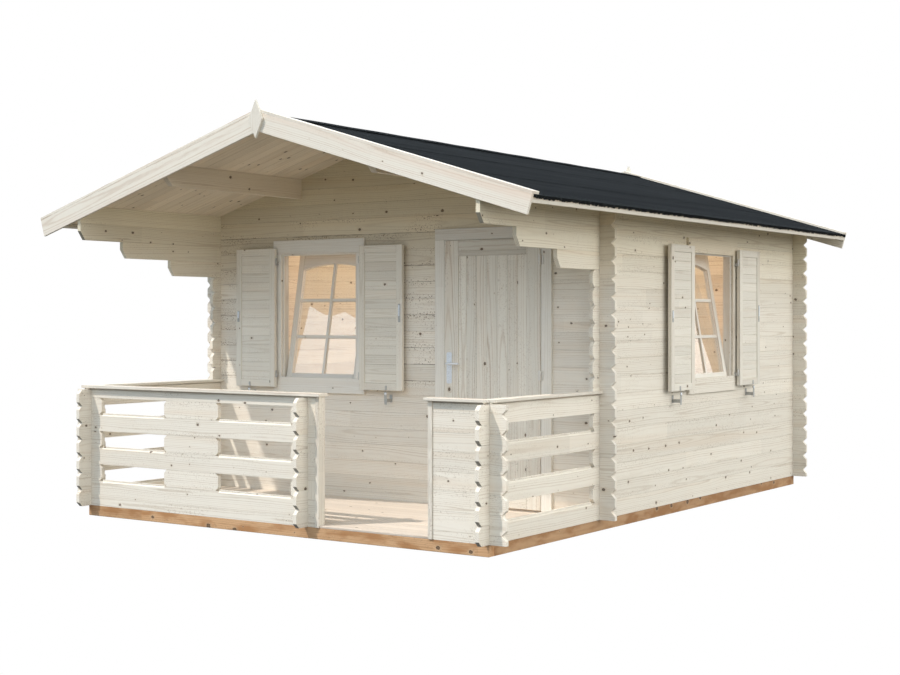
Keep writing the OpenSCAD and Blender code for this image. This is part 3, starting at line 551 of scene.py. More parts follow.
# Floor that stays pale, and a sky that the camera sees as plain white
stagePlan = {"size": 120.0, "bounce": (0.06, 0.056, 0.047), "rough": 0.9, "seen": (1, 1, 1)}
world = bpy.data.worlds.new("studio")
world.use_nodes = True
scene.world = world
sky = world.node_tree
path = addNode(sky, "LightPath").outputs
way = axesOf(sky, addNode(sky, "TexCoord").outputs["Generated"])
skyColour = mixColour(sky, ramp(sky, way["Z"], *lightPlan["skyRise"]), lightPlan["skyLow"], lightPlan["skyFront"])
skyColour = mixColour(sky, ramp(sky, way["X"], *lightPlan["skyTurn"]), skyColour, lightPlan["skyRight"])
skyColour = mixColour(sky, path["Is Glossy Ray"], skyColour,
                      calcVector(sky, "MULTIPLY", skyColour, (lightPlan["shine"],) * 3))
mirrors = times(sky, path["Is Glossy Ray"], path["Is Singular Ray"])
mirrors = times(sky, mirrors, ramp(sky, way["Y"], *lightPlan["mirrorTurn"], 1.0, 0.0))
skyColour = mixColour(sky, mirrors, skyColour, lightPlan["mirrored"])
skyColour = mixColour(sky, path["Is Camera Ray"], skyColour, stagePlan["seen"])
sky.links.new(skyColour, sky.nodes["Background"].inputs["Color"])

floorMesh = bpy.data.meshes.new("studioFloor")
floorShape = bmesh.new()
bmesh.ops.create_grid(floorShape, x_segments=1, y_segments=1, size=stagePlan["size"])
floorShape.to_mesh(floorMesh)
floorShape.free()
studioFloor = bpy.data.objects.new("studioFloor", floorMesh)
scene.collection.objects.link(studioFloor)
floorMaterial, floorTree, floorShader = newMaterial("paleFloor")
setShader(floorTree, floorShader, {"Base Color": opaque(stagePlan["bounce"]), "Roughness": stagePlan["rough"]})
floorGlow = addNode(floorTree, "Emission", {"Color": opaque(stagePlan["seen"]), "Strength": 1.0})
swapShader(floorTree, addNode(floorTree, "LightPath").outputs["Is Camera Ray"], floorShader, floorGlow)
floorMesh.materials.append(floorMaterial)


# Joinery helpers

weld = 1e-5  # metres between verts that count as one
near = 0.001  # metres
flat = 0.01  # radians
sharp = math.radians(24)
straight = 0.99  # least cosine between an edge and the direction that it runs along


def solidOf(node):
    shape = bmesh.new()
    shape.from_mesh(frame["nodes"][node].data)
    bmesh.ops.remove_doubles(shape, verts=shape.verts, dist=weld)
    bmesh.ops.dissolve_limit(shape, angle_limit=flat, verts=shape.verts, edges=shape.edges)
    return shape


# Part of a solid between two distances along a direction, closed where it was cut
def between(shape, along, low=None, high=None):
    part = shape.copy()
    for limit, way in ((low, -1), (high, 1)):
        if limit is None:
            continue
        everything = part.verts[:] + part.edges[:] + part.faces[:]
        bmesh.ops.bisect_plane(part, geom=everything, dist=weld, plane_co=along * limit, plane_no=along * way,
                               clear_outer=True)
        bmesh.ops.holes_fill(part, edges=[e for e in part.edges if e.is_boundary], sides=0)
    return part


def addBoard(shape, low, high):
    low, high = Vector(low), Vector(high)
    size = high - low
    place = Matrix.Translation((low + high) / 2) @ Matrix.Diagonal((*size, 1.0))
    return bmesh.ops.create_cube(shape, size=1.0, matrix=place)["verts"]


# Two posts and a head round an opening: four places across, then foot, head's foot and top
def addSurround(shape, across, depths, foot, headFoot, top, gap=0.0):
    for x0, x1 in (across[:2], across[2:]):
        addBoard(shape, (x0, depths[0], foot), (x1, depths[1], headFoot - gap))
    addBoard(shape, (across[0], depths[0], headFoot), (across[3], depths[1], top))


def moveBy(shape, matrix):
    bmesh.ops.transform(shape, matrix=matrix, verts=shape.verts)


def addFrom(shape, part):
    mesh = bpy.data.meshes.new("cutting")
    part.to_mesh(mesh)
    shape.from_mesh(mesh)
    bpy.data.meshes.remove(mesh)
    part.free()


# Neighbours of some verts or faces, each once and in the same order in every run
def linked(parts, kind):
    return list(dict.fromkeys(item for part in parts for item in getattr(part, kind)))


def onlyKind(parts, kind):
    return [part for part in parts if isinstance(part, kind)]


def islandsOf(shape):
    shape.verts.ensure_lookup_table()
    seen, found = set(), []
    for start in shape.verts:
        if start in seen:
            continue
        seen.add(start)
        island, waiting = [], [start]
        while waiting:
            vert = waiting.pop()
            island.append(vert)
            for edge in vert.link_edges:
                other = edge.other_vert(vert)
                if other not in seen:
                    seen.add(other)
                    waiting.append(other)
        found.append(island)
    return found


def isSharp(edge):
    return len(edge.link_faces) == 2 and edge.calc_face_angle(0.0) > sharp


# Takes the sharpness off each board by itself, so that a thin one doesn't hold back the rest
def ease(shape, width, segments=2, pick=None):
    for island in islandsOf(shape):
        edges = [e for e in linked(island, "link_edges") if isSharp(e) and (pick is None or pick(e))]
        if edges:
            bmesh.ops.bevel(shape, geom=edges, offset=width, offset_type="OFFSET",
                            affect="EDGES", segments=segments, profile=0.5, material=-1, clamp_overlap=True)


# Lowest and highest corners of some verts
def spanOf(verts):
    return [Vector([pick(v.co[i] for v in verts) for i in range(3)]) for pick in (min, max)]


def rounded(vector):
    return tuple(round(part, 3) for part in vector)


# Least and greatest distance of some verts along a direction
def reachOf(verts, along):
    spans = [v.co.dot(along) for v in verts]
    return min(spans), max(spans)


def middleOf(verts):
    return sum((v.co for v in verts), Vector()) / len(verts)


boardPlan = {"start": 60.0, "pithAside": 0.6, "pithDeep": (0.015, 0.08), "faces": 10, "square": 0.2}


# Writes each board's own grain direction, pith and tone, in an order that only the boards' places give
def addGrain(shape, seed, upright=None):
    draw = random.Random(seed)
    grain = shape.verts.layers.float_vector.new("grain")
    tone = shape.verts.layers.float.new("tone")
    board = shape.verts.layers.float_vector.new("board")
    shape.normal_update()
    for island in sorted(islandsOf(shape), key=lambda verts: [rounded(corner) for corner in spanOf(verts)]):
        faces = sorted(linked(island, "link_faces"), key=lambda f: (-round(f.calc_area(), 6), rounded(f.normal)))
        longest = max(linked(island, "link_edges"), key=lambda e: round(e.calc_length(), 4))
        along = upright or (longest.verts[1].co - longest.verts[0].co).normalized()
        if max(along, key=abs) < 0:
            along = -along
        across, width = None, -1.0
        for face in faces[:boardPlan["faces"]]:
            low, high = reachOf(island, face.normal)
            if abs(face.normal.dot(along)) < boardPlan["square"] and high - low > width + weld:
                across, width = face.normal.copy(), high - low
        if across is None:
            across = along.orthogonal()
        across = (across - along * across.dot(along)).normalized()
        deep = along.cross(across)
        middle = middleOf(island)
        low, high = reachOf(island, across)
        centre, half = (high + low) / 2, (high - low) / 2
        aside = boardPlan["pithAside"]
        shift = Vector((draw.uniform(0, boardPlan["start"]), draw.uniform(-aside, aside) * width,
                        draw.uniform(*boardPlan["pithDeep"])))
        shade = draw.random()
        for vert in island:
            off = vert.co - middle
            vert[grain] = shift + Vector((off.dot(along), off.dot(across), off.dot(deep)))
            vert[tone] = shade
            vert[board] = Vector(((vert.co.dot(across) - centre) / half, half, 0))


# Gives the boards that a test picks by their lowest and highest corners a tone of their own
def setTone(shape, value, pick):
    tone = shape.verts.layers.float["tone"]
    for island in islandsOf(shape):
        if pick(*spanOf(island)):
            for vert in island:
                vert[tone] = value


# Painted shade: darkens the bevels that face down under the log ends
def paintUndercutShade(shape):
    tone = shape.verts.layers.float["tone"]
    shape.normal_update()
    for face in shape.faces:
        place = face.calc_center_median()
        shaded = place.y < railFace - logPlan["undercutOut"] or place.x < -sideFace - logPlan["undercutOut"]
        steepest, flattest = logPlan["undercutTilt"]
        if shaded and steepest < face.normal.z < flattest and face.calc_area() > logPlan["undercutArea"]:
            for vert in face.verts:
                vert[tone] = logPlan["undercutShade"]


def runsAlong(edge, direction):
    return abs((edge.verts[1].co - edge.verts[0].co).normalized().dot(direction)) > straight


def titled(node):
    return node.title().replace("_", "")


def makePiece(name, shape, slot, body="cabin", nodes=(), finish=None):
    mesh = bpy.data.meshes.new(name)
    shape.to_mesh(mesh)
    shape.free()
    mesh.materials.append(materials[finish or slot])
    piece = bpy.data.objects.new(name, mesh)
    scene.collection.objects.link(piece)
    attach(piece, body)
    if nodes:
        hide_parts(*nodes)
    return piece


slotOf = {row["node"]: row["material_slot"] for row in frame["record"]["subparts"]}


# Logs and plain boards: the CAD shapes with eased edges

logPlan = {
    "edge": 0.0010,
    "shoulder": 0.009,  # wide bevel on the open top edges of the rail logs
    "courseHeight": 0.114,
    "sideStart": 0.070,
    "frontStart": 0.127,
    "railCourses": (0, 2, 4),
    "cornerBlock": 0.130,  # from the corner's face to the end of the block there
    "rightBlock": 0.172,
    "wallBlock": 0.094,
    "midBlock": (-0.9215, -0.4385),
    "railEnd": 0.174,
    "tongueHeight": 0.0095,
    "tongueThick": 0.0100,
    "tongueIn": 0.002,
    "tongueEdge": 0.0012,
    "headTone": -1.9,  # the board over the door is darker
    "undercutShade": -4.6,  # painted shade: the bevels that face down at the log ends are darker
    "undercutArea": 0.0004,
    "undercutTilt": (-0.9, -0.5),
    "undercutOut": 0.01,
}

# Open lengths of the rail logs, between the blocks: direction, height of the first log's foot, spans
sideEnd = wallFace - logPlan["wallBlock"]
openRails = {
    "left_wall_logs": (yAxis, logPlan["sideStart"], ((railFace + logPlan["cornerBlock"], sideEnd),)),
    "right_wall_logs": (yAxis, logPlan["sideStart"], ((railFace + logPlan["rightBlock"], sideEnd),)),
    "front_rail_left_logs": (xAxis, logPlan["frontStart"], (
        (-sideFace + logPlan["cornerBlock"], logPlan["midBlock"][0]), (logPlan["midBlock"][1], logPlan["railEnd"]))),
}


def railTops(start):
    return [start + logPlan["courseHeight"] * (course + 1) for course in logPlan["railCourses"]]


# Wide bevel on the open top edges, cut only between the blocks that stand on a log
def cutShoulders(shape, direction, start, spans):
    tops = railTops(start)

    def isTop(edge):
        heights = [v.co.z for v in edge.verts]
        level = runsAlong(edge, direction) and abs(heights[0] - heights[1]) < near
        return level and any(abs(heights[0] - top) < near for top in tops)

    limits = [None, *(limit for span in spans for limit in span), None]
    pieces = bmesh.new()
    for span in zip(limits, limits[1:]):
        part = between(shape, direction, *span)
        if span in spans:
            board = part.verts.layers.float_vector["board"]
            for vert in part.verts:
                vert[board] = Vector((0, 1, 0))  # open edges stay clean
            ease(part, logPlan["shoulder"], 1, isTop)
        addFrom(pieces, part)
    shape.free()
    return pieces


# Nodes that only get eased edges, with the width of the bevel
plainTimber = {
    **dict.fromkeys(("base_end_beams", "base_side_beams", "floor_joists"), 0.003),
    **dict.fromkeys(("left_wall_logs", "right_wall_logs", "front_wall_logs", "back_wall_logs", "front_gable_logs",
                     "back_gable_logs", "front_rail_left_logs", "front_rail_right_logs", "rail_blocks",
                     "rail_brace_logs"), logPlan["edge"]),
    **dict.fromkeys(("rail_end_boards", "handrails"), 0.0025),
    "purlins": 0.003,
    **dict.fromkeys(("eaves_laths", "front_bargeboards", "back_bargeboards", "barge_battens", "finials"), 0.0018),
    **dict.fromkeys(("door_frame", "door_trim"), 0.002),
    "door_threshold": 0.003,
    "window_trims": 0.002,
}
grainSeeds = {"finials": "clear finials"}  # another draw, without a knot at the point
for node, width in plainTimber.items():
    shape = solidOf(node)
    if node in openRails:
        direction, start, spans = openRails[node]
        addGrain(shape, node)
        shape = cutShoulders(shape, direction, start, spans)
        cuts = [limit for span in spans for limit in span]
        ease(shape, width, pick=lambda e: not runsAlong(e, zAxis) and not any(
            all(abs(v.co.dot(direction) - cut) < near / 10 for v in e.verts) for cut in cuts))
    else:
        ease(shape, width, pick=(lambda e: not runsAlong(e, zAxis)) if slotOf[node] == "log" else None)
        addGrain(shape, grainSeeds.get(node, node), zAxis if node == "finials" else None)
    # Painted shade on the bevels under the log ends
    if slotOf[node] == "log":
        paintUndercutShade(shape)
    if node == "door_trim":
        setTone(shape, logPlan["headTone"], lambda low, high: high.x - low.x > high.z - low.z)
    piece = makePiece(titled(node) + "Timber", shape, slotOf[node], nodes=(node,), finish=ownFinish.get(node))
    if node == "window_trims":
        piece.data.materials.append(materials["log"])  # the side window's boards match the wall
        for face in piece.data.polygons:
            face.material_index = int(face.center.x > sideFace - weld)
print("logs and boards eased:", len(plainTimber))

# Tongues that stand on the open rail logs
tongues = bmesh.new()
inset = (logThick - logPlan["tongueThick"]) / 2
tongueStarts = {"left_wall_logs": Vector((-sideFace + inset, 0, 0)),
                "right_wall_logs": Vector((sideFace - logThick + inset, 0, 0)),
                "front_rail_left_logs": Vector((0, railFace + inset, 0))}
for node, (direction, start, spans) in openRails.items():
    across = Vector((1, 1, 0)) - direction
    for top in railTops(start):
        for low, high in spans:
            corner = tongueStarts[node] + direction * (low + logPlan["tongueIn"]) + zAxis * top
            size = direction * (high - low - 2 * logPlan["tongueIn"]) + across * logPlan["tongueThick"]
            addBoard(tongues, corner, corner + size + zAxis * logPlan["tongueHeight"])
# Packing on the corner stubs, under the ends of the handrail
packPlan = {"rise": 0.0098, "front": 0.024, "left": 0.040, "right": 0.006, "rightIn": 0.019, "long": 0.05,
            "gap": 0.0002}
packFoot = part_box("handrails")[0].z
packTop = packFoot + packPlan["rise"]
packOver, packBefore = (railFace, railFace + logThick), (railFace - packPlan["front"], railFace - packPlan["gap"])
for x0, x1, (y0, y1) in (
        (-sideFace - packPlan["left"], -sideFace + packPlan["long"], packOver),
        (-sideFace, -sideFace + logThick, packBefore),
        (sideFace - packPlan["long"], sideFace + packPlan["right"], packOver),
        (sideFace - logThick, sideFace - packPlan["rightIn"], packBefore)):
    addBoard(tongues, (x0, y0, packFoot), (x1, y1, packTop))
ease(tongues, logPlan["tongueEdge"])
addGrain(tongues, "tongues")
makePiece("railTongues", tongues, "log")


# Floors and roof boards, sawn from the CAD sheets

deckPlan = {"floorBoard": 0.0935, "roofBoard": 0.0962, "joint": 0.0006, "edge": 0.0022}


def sawBoards(node, along, pitch, edge):
    sheet = solidOf(node)
    low, high = reachOf(sheet.verts, along)
    count = math.ceil((high - low) / pitch)
    boards = bmesh.new()
    for i in range(count):
        start = low + i * pitch
        end = min(start + pitch, high)
        addFrom(boards, between(sheet, along, start + deckPlan["joint"] if i else None,
                                end if i < count - 1 else None))
    sheet.free()
    ease(boards, edge)
    addGrain(boards, node)
    return boards


for node, pitch in (("porch_floor", "floorBoard"), ("room_floor", "floorBoard"),
                    ("left_roof_boards", "roofBoard"), ("right_roof_boards", "roofBoard")):
    boards = sawBoards(node, yAxis, deckPlan[pitch], deckPlan["edge"])
    makePiece(titled(node), boards, slotOf[node], nodes=(node,))
print("floors and roof boarded")


# Roofing felt: courses lapped down the slope, a ragged edge over the eaves and a cap on the ridge

feltPlan = {
    "slope": 16.83,
    "boardTop": 0.020,
    "below": 0.0001,
    "thick": 0.003,
    "sheet": 0.0014,  # one sheet, which shows at the laps
    "courses": ((0.0, 0.77), (0.69, 1.46), (1.38, 2.0855)),
    "rows": 12,
    "wave": 0.0006,
    "waves": (61, 9, 23, 5),
    "rim": 0.003,
    "lip": 0.018,
    "lipOut": 0.0015,
    "ragged": 0.006,
    "step": 0.009,
    "capWidth": 0.16,
    "capRise": 0.0265,
    "capIn": 0.053,
    "capColumns": 200,
    "capSoft": (0.004, 0.03),  # how far the bend over the ridge is rounded off, and over what width
    "capWave": 0.0008,
    "capWaves": (47, 5),
}
slope = math.radians(feltPlan["slope"])
deckLow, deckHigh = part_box("right_roof_felt")[0].y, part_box("right_roof_felt")[1].y
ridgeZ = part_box("right_roof_boards")[1].z - feltPlan["boardTop"] / math.cos(slope) - feltPlan["below"]


# Place on a roof side from the distance down the slope and the height above the boards' underside
def onRoof(side, down, above, y):
    x = down * math.cos(slope) + above * math.sin(slope)
    z = ridgeZ - down * math.sin(slope) + above * math.cos(slope)
    return Vector((side * x, y, z))


# Verts of a new sheet, each with its share of the way down the slope and along the ridge
def feltSheet(shape, columns):
    made = bmesh.ops.create_grid(shape, x_segments=feltPlan["rows"], y_segments=columns, size=0.5)["verts"]
    return [(v, v.co.x + 0.5, v.co.y + 0.5) for v in made]


# Turns a sheet's faces up and gives it its thickness
def thicken(sheet, thick):
    bmesh.ops.recalc_face_normals(sheet, faces=sheet.faces)
    if sum(f.normal.z for f in sheet.faces) < 0:
        bmesh.ops.reverse_faces(sheet, faces=sheet.faces)
    bmesh.ops.solidify(sheet, geom=sheet.faces[:], thickness=thick)


def makeFeltSide(name, side, node):
    draw = random.Random(node)
    felt = bmesh.new()
    columns = round((deckHigh - deckLow) / feltPlan["step"])
    a, b, c, d = feltPlan["waves"]
    for low, high in feltPlan["courses"]:
        last = high == feltPlan["courses"][-1][1]
        sheet = bmesh.new()
        for vert, u, v in feltSheet(sheet, columns):
            down = low + (high - low) * u
            rise = feltPlan["boardTop"] + feltPlan["thick"] + feltPlan["sheet"] * (0 if last else u)
            rise += feltPlan["wave"] * math.sin(v * a + u * b) * math.sin(v * c + low * d)
            vert.co = onRoof(side, down, rise, deckLow + (deckHigh - deckLow) * v)
        if last:
            rimX = abs(onRoof(side, high - feltPlan["rim"], 0, 0).x)
            rim = [e for e in sheet.edges if e.is_boundary and all(abs(w.co.x) > rimX for w in e.verts)]
            fold = bmesh.ops.extrude_edge_only(sheet, edges=rim)["geom"]
            for vert in onlyKind(fold, bmesh.types.BMVert):
                fall = feltPlan["lip"] + draw.uniform(-1, 1) * feltPlan["ragged"]
                vert.co += onRoof(side, feltPlan["lipOut"], -fall, 0) - onRoof(side, 0, 0, 0)
        thicken(sheet, feltPlan["thick" if last else "sheet"])
        addFrom(felt, sheet)
    makePiece(name, felt, "felt", nodes=(node,))


makeFeltSide("rightFelt", 1, "right_roof_felt")
makeFeltSide("leftFelt", -1, "left_roof_felt")

cap = bmesh.new()
capLow, capHigh = deckLow + feltPlan["capIn"], deckHigh - feltPlan["capIn"]
for vert, u, v in feltSheet(cap, feltPlan["capColumns"]):
    down = (u - 0.5) * 2 * feltPlan["capWidth"]
    soft = feltPlan["capSoft"][0] * math.exp(-(down / feltPlan["capSoft"][1]) ** 2)
    wave = feltPlan["capWave"] * math.sin(v * feltPlan["capWaves"][0] + u * feltPlan["capWaves"][1])
    vert.co = onRoof(1 if down >= 0 else -1, abs(down), feltPlan["capRise"] + feltPlan["thick"] - soft + wave,
                     capLow + (capHigh - capLow) * v)
    if abs(down) < weld:
        vert.co.x = 0
thicken(cap, feltPlan["thick"])
makePiece("ridgeCap", cap, "felt")
print("felt laid")


# Small steel work

screwPlan = {"radius": 0.0042, "rise": 0.0014, "sides": 14, "taper": 0.78, "rim": 0.35, "sink": 0.7}


def facing(place, outwards):
    return Matrix.Translation(place) @ outwards.to_track_quat("Z", "Y").to_matrix().to_4x4()


def addScrew(shape, place, outwards, radius=screwPlan["radius"], rise=screwPlan["rise"]):
    made = bmesh.ops.create_cone(shape, cap_ends=True, segments=screwPlan["sides"], radius1=radius,
                                 radius2=radius * screwPlan["taper"], depth=rise,
                                 matrix=facing(place + outwards * (rise / 2), outwards))["verts"]
    top = max(linked(made, "link_faces"), key=lambda f: f.calc_center_median().dot(outwards))
    bmesh.ops.inset_individual(shape, faces=[top], thickness=radius * screwPlan["rim"], depth=0.0)
    bmesh.ops.translate(shape, verts=top.verts[:], vec=outwards * (-rise * screwPlan["sink"]))


hingePlan = {"edge": 0.0007, "screwRows": (-0.022, 0.0, 0.022), "screwIn": 0.006, "screw": 0.0035, "halfHigh": 0.032,
             "faceIn": 0.004}
for node, body, toEdge in (("door_hinge_plates", "cabin", 1), ("door_hinges", "door", -1)):
    steel = solidOf(node)
    low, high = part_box(node)
    ease(steel, hingePlan["edge"], 1)
    outer = high.x if toEdge > 0 else low.x
    plateFace = high.y - hingePlan["faceIn"]
    for middle in (low.z + hingePlan["halfHigh"], high.z - hingePlan["halfHigh"]):
        for row in hingePlan["screwRows"]:
            spot = Vector((outer - toEdge * hingePlan["screwIn"], plateFace, middle + row))
            addScrew(steel, spot, -yAxis, hingePlan["screw"])
    makePiece(titled(node) + "Steel", steel, "steel", body, (node,), "hinge")

# Each catch has a bright knob, a web under its arm and a tongue that hangs a little lower
catchPlan = {"knobRadius": 0.009, "knobFlat": 0.8, "knobDrop": 0.016, "webHalf": 0.0022, "webIn": 0.003,
             "webFoot": 0.002, "webHead": 0.0205, "tongueHalf": 0.0095, "tongueThick": 0.0036, "tongueDrop": 0.012,
             "edge": 0.0009, "webEdge": 0.0005, "gap": 0.0002}
for node in ("shutter_pintles", "shutter_catches"):
    steel = solidOf(node)
    webs = bmesh.new()
    knobs = []
    if node == "shutter_catches":
        for island in islandsOf(steel):
            outwards = xAxis if min(v.co.x for v in island) > sideFace - weld else -yAxis
            back, out = reachOf(island, outwards)
            bottom, top = reachOf(island, zAxis)
            middle = middleOf(island)
            spot = middle - outwards * (middle.dot(outwards) - out)
            knobs.append((Vector((spot.x, spot.y, top - catchPlan["knobDrop"])), outwards))
            for half, first, last, foot in (
                    ("webHalf", catchPlan["webIn"], out - back - catchPlan["webIn"], catchPlan["webFoot"]),
                    ("tongueHalf", catchPlan["gap"], catchPlan["tongueThick"], -catchPlan["tongueDrop"])):
                aside = outwards.cross(zAxis) * catchPlan[half]
                ends = (spot - outwards * first + aside, spot - outwards * last - aside)
                low, high = [Vector([pick(axis) for axis in zip(*ends)]) for pick in (min, max)]
                low.z, high.z = bottom + foot, bottom + catchPlan["webHead"]
                addBoard(webs, low, high)
    ease(steel, catchPlan["edge"])
    ease(webs, catchPlan["webEdge"], 1)
    addFrom(steel, webs)
    for spot, outwards in knobs:
        squash = Matrix.Diagonal((1, 1, catchPlan["knobFlat"], 1))
        made = bmesh.ops.create_uvsphere(steel, u_segments=18, v_segments=10, radius=catchPlan["knobRadius"],
                                         matrix=facing(spot, outwards) @ squash)["verts"]
        for face in linked(made, "link_faces"):
            face.smooth = True
            face.material_index = 1
    piece = makePiece(titled(node) + "Steel", steel, "steel", nodes=(node,), finish="catch")
    piece.data.materials.append(materials["steel"])

# Door handle: rounded plate with a key cylinder, and a lever bent from one round bar
handlePlan = {
    "corner": 0.012,
    "edge": 0.001,
    "screwDrop": 0.013,
    "keyDrop": 0.062,
    "keyRadius": 0.0085,
    "keyHigh": 0.005,
    "keyOut": 0.001,
    "keyRim": 0.0015,
    "slotWide": 0.3,
    "slotDeep": 0.003,
    "pivotIn": 0.008,
    "roseRadius": 0.0145,
    "roseTaper": 0.86,
    "roseHigh": 0.006,
    "roseEdge": 0.0012,
    "barRadius": 0.0076,
    "barIn": 0.008,
    "bend": 0.014,
    "endIn": 0.020,
    "ends": ((0.017, (1, 0.86, 0.92)), (0.003, (1, 0.6, 0.6))),  # lengths at the tip and how they taper
}
low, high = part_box("door_handle_plate")
leverLow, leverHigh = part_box("door_lever")
pivot = Vector((leverLow.x + handlePlan["pivotIn"], leverHigh.y, (leverLow.z + leverHigh.z) / 2))
plate = bmesh.new()
addBoard(plate, low, high)
bmesh.ops.bevel(plate, geom=[e for e in plate.edges if runsAlong(e, yAxis)], offset=handlePlan["corner"],
                offset_type="OFFSET", affect="EDGES", segments=6, profile=0.5, material=-1)
ease(plate, handlePlan["edge"])
centreX = (low.x + high.x) / 2
for z in (low.z + handlePlan["screwDrop"], high.z - handlePlan["screwDrop"]):
    addScrew(plate, Vector((centreX, low.y, z)), -yAxis)
forwards = Matrix.Rotation(math.pi / 2, 4, "X")
keySpot = Matrix.Translation((centreX, low.y - handlePlan["keyOut"], pivot.z - handlePlan["keyDrop"])) @ forwards
keyVerts = bmesh.ops.create_cone(plate, cap_ends=True, segments=24, radius1=handlePlan["keyRadius"],
                                 radius2=handlePlan["keyRadius"], depth=handlePlan["keyHigh"],
                                 matrix=keySpot)["verts"]
keyFace = min(linked(keyVerts, "link_faces"), key=lambda f: f.calc_center_median().y)
bmesh.ops.inset_individual(plate, faces=[keyFace], thickness=handlePlan["keyRim"], depth=0.0)
bmesh.ops.scale(plate, vec=(handlePlan["slotWide"], 1, 1), verts=keyFace.verts[:],
                space=Matrix.Translation(-keyFace.calc_center_median()))
bmesh.ops.translate(plate, verts=keyFace.verts[:], vec=(0, handlePlan["slotDeep"], 0))
makePiece("handlePlate", plate, "steel", "door", ("door_handle_plate",))

lever = bmesh.new()
roseSpot = Matrix.Translation(pivot + Vector((0, -handlePlan["roseHigh"] / 2, 0))) @ forwards
bmesh.ops.create_cone(lever, cap_ends=True, segments=32, radius1=handlePlan["roseRadius"] * handlePlan["roseTaper"],
                      radius2=handlePlan["roseRadius"], depth=handlePlan["roseHigh"], matrix=roseSpot)
ease(lever, handlePlan["roseEdge"])
bend, barY = handlePlan["bend"], leverLow.y + handlePlan["barIn"]
ring = bmesh.ops.create_circle(lever, cap_ends=True, segments=24, radius=handlePlan["barRadius"],
                               matrix=Matrix.Translation(pivot) @ forwards)["verts"]


def pull(faces, move):
    made = bmesh.ops.extrude_face_region(lever, geom=faces)["geom"]
    bmesh.ops.translate(lever, verts=onlyKind(made, bmesh.types.BMVert), vec=move)
    return onlyKind(made, bmesh.types.BMFace)


head = pull(linked(ring, "link_faces"), Vector((0, barY + bend - pivot.y, 0)))
spun = bmesh.ops.spin(lever, geom=head + linked(head, "edges") + linked(head, "verts"),
                      cent=(pivot.x + bend, barY + bend, pivot.z), axis=(0, 0, 1), angle=math.pi / 2,
                      steps=8)["geom_last"]
head = pull(onlyKind(spun, bmesh.types.BMFace), Vector((leverHigh.x - handlePlan["endIn"] - pivot.x - bend, 0, 0)))
for long, taper in handlePlan["ends"]:
    head = pull(head, Vector((long, 0, 0)))
    bmesh.ops.scale(lever, vec=taper, verts=linked(head, "verts"), space=Matrix.Translation((0, -barY, -pivot.z)))
bmesh.ops.remove_doubles(lever, verts=lever.verts, dist=weld)
bmesh.ops.recalc_face_normals(lever, faces=lever.faces)
for face in lever.faces:
    face.smooth = len(face.verts) == 4
makePiece("doorLever", lever, "steel", "lever", ("door_lever",))
print("steel work made")


# Door leaf: stiles, rails and upright planks with a moulding under the top rail

doorPlan = {
    "stile": 0.110,
    "rail": 0.106,
    "panelDeep": 0.006,
    "moulding": 0.034,
    "mouldingOut": 0.0025,
    "topRail": 0.072,
    "plankFirst": 0.064,
    "plank": 0.0815,
    "edge": 0.002,
    "plankEdge": 0.0018,
    "joint": 0.0004,
    "headTone": -1.2,
    "stopWide": 0.018,
    "stopGap": 0.0022,
    "stopSink": 0.004,
    "gap": 0.007,
    "clear": 0.0025,
    "backDeep": 0.004,
    "stopFoot": 0.004,
    "stopEdge": 0.001,
    "fillDeep": 0.003,
    "hair": 0.0005,
}
low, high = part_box("door_leaf")
leaf = bmesh.new()
panelLow, panelHigh = low.x + doorPlan["stile"], high.x - doorPlan["stile"]
addBoard(leaf, low, (panelLow, high.y, high.z))
addBoard(leaf, (panelHigh, low.y, low.z), high)
addBoard(leaf, (panelLow, low.y, low.z), (panelHigh, high.y, low.z + doorPlan["rail"]))
addBoard(leaf, (panelLow, low.y, high.z - doorPlan["topRail"]), (panelHigh, high.y, high.z))
mouldTop = high.z - doorPlan["topRail"]
addBoard(leaf, (panelLow, low.y - doorPlan["mouldingOut"], mouldTop - doorPlan["moulding"]),
         (panelHigh, high.y, mouldTop))
ease(leaf, doorPlan["edge"])
planks = bmesh.new()
cuts = [panelLow]
while cuts[-1] < panelHigh - near:
    cuts.append(min(panelHigh, cuts[-1] + (doorPlan["plankFirst"] if len(cuts) == 1 else doorPlan["plank"])))
for x0, x1 in zip(cuts, cuts[1:]):
    addBoard(planks, (x0, low.y + doorPlan["panelDeep"], low.z + doorPlan["rail"]),
             (x1 - doorPlan["joint"], high.y - doorPlan["backDeep"], mouldTop - doorPlan["moulding"]))
ease(planks, doorPlan["plankEdge"], 1)
addFrom(leaf, planks)
addGrain(leaf, "door")
setTone(leaf, doorPlan["headTone"], lambda low, high: low.z > mouldTop - doorPlan["moulding"] - 2 * near)
makePiece("plankedDoor", leaf, "door", "door", ("door_leaf",))

# Stop behind the leaf's edges, which closes the gap round it
stop = bmesh.new()
stopY = (high.y + doorPlan["stopGap"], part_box("door_frame")[1].y - doorPlan["hair"])
stopOut, stopIn = doorPlan["gap"] + doorPlan["stopSink"], doorPlan["stopWide"] - doorPlan["gap"]
addSurround(stop, (low.x - stopOut, low.x + stopIn, high.x - stopIn, high.x + stopOut), stopY,
            low.z + doorPlan["stopFoot"], high.z - stopIn, high.z + stopOut)
gap, clear = doorPlan["gap"], doorPlan["clear"]
addSurround(stop, (low.x - gap, low.x - clear, high.x + clear, high.x + gap), (low.y + doorPlan["fillDeep"], high.y),
            low.z, high.z + clear, high.z + gap, doorPlan["hair"])
ease(stop, doorPlan["stopEdge"])
addGrain(stop, "door stop")
makePiece("doorStop", stop, "trim", finish="joinery")


# Windows: jointed frames, tilted sashes with glazing bars

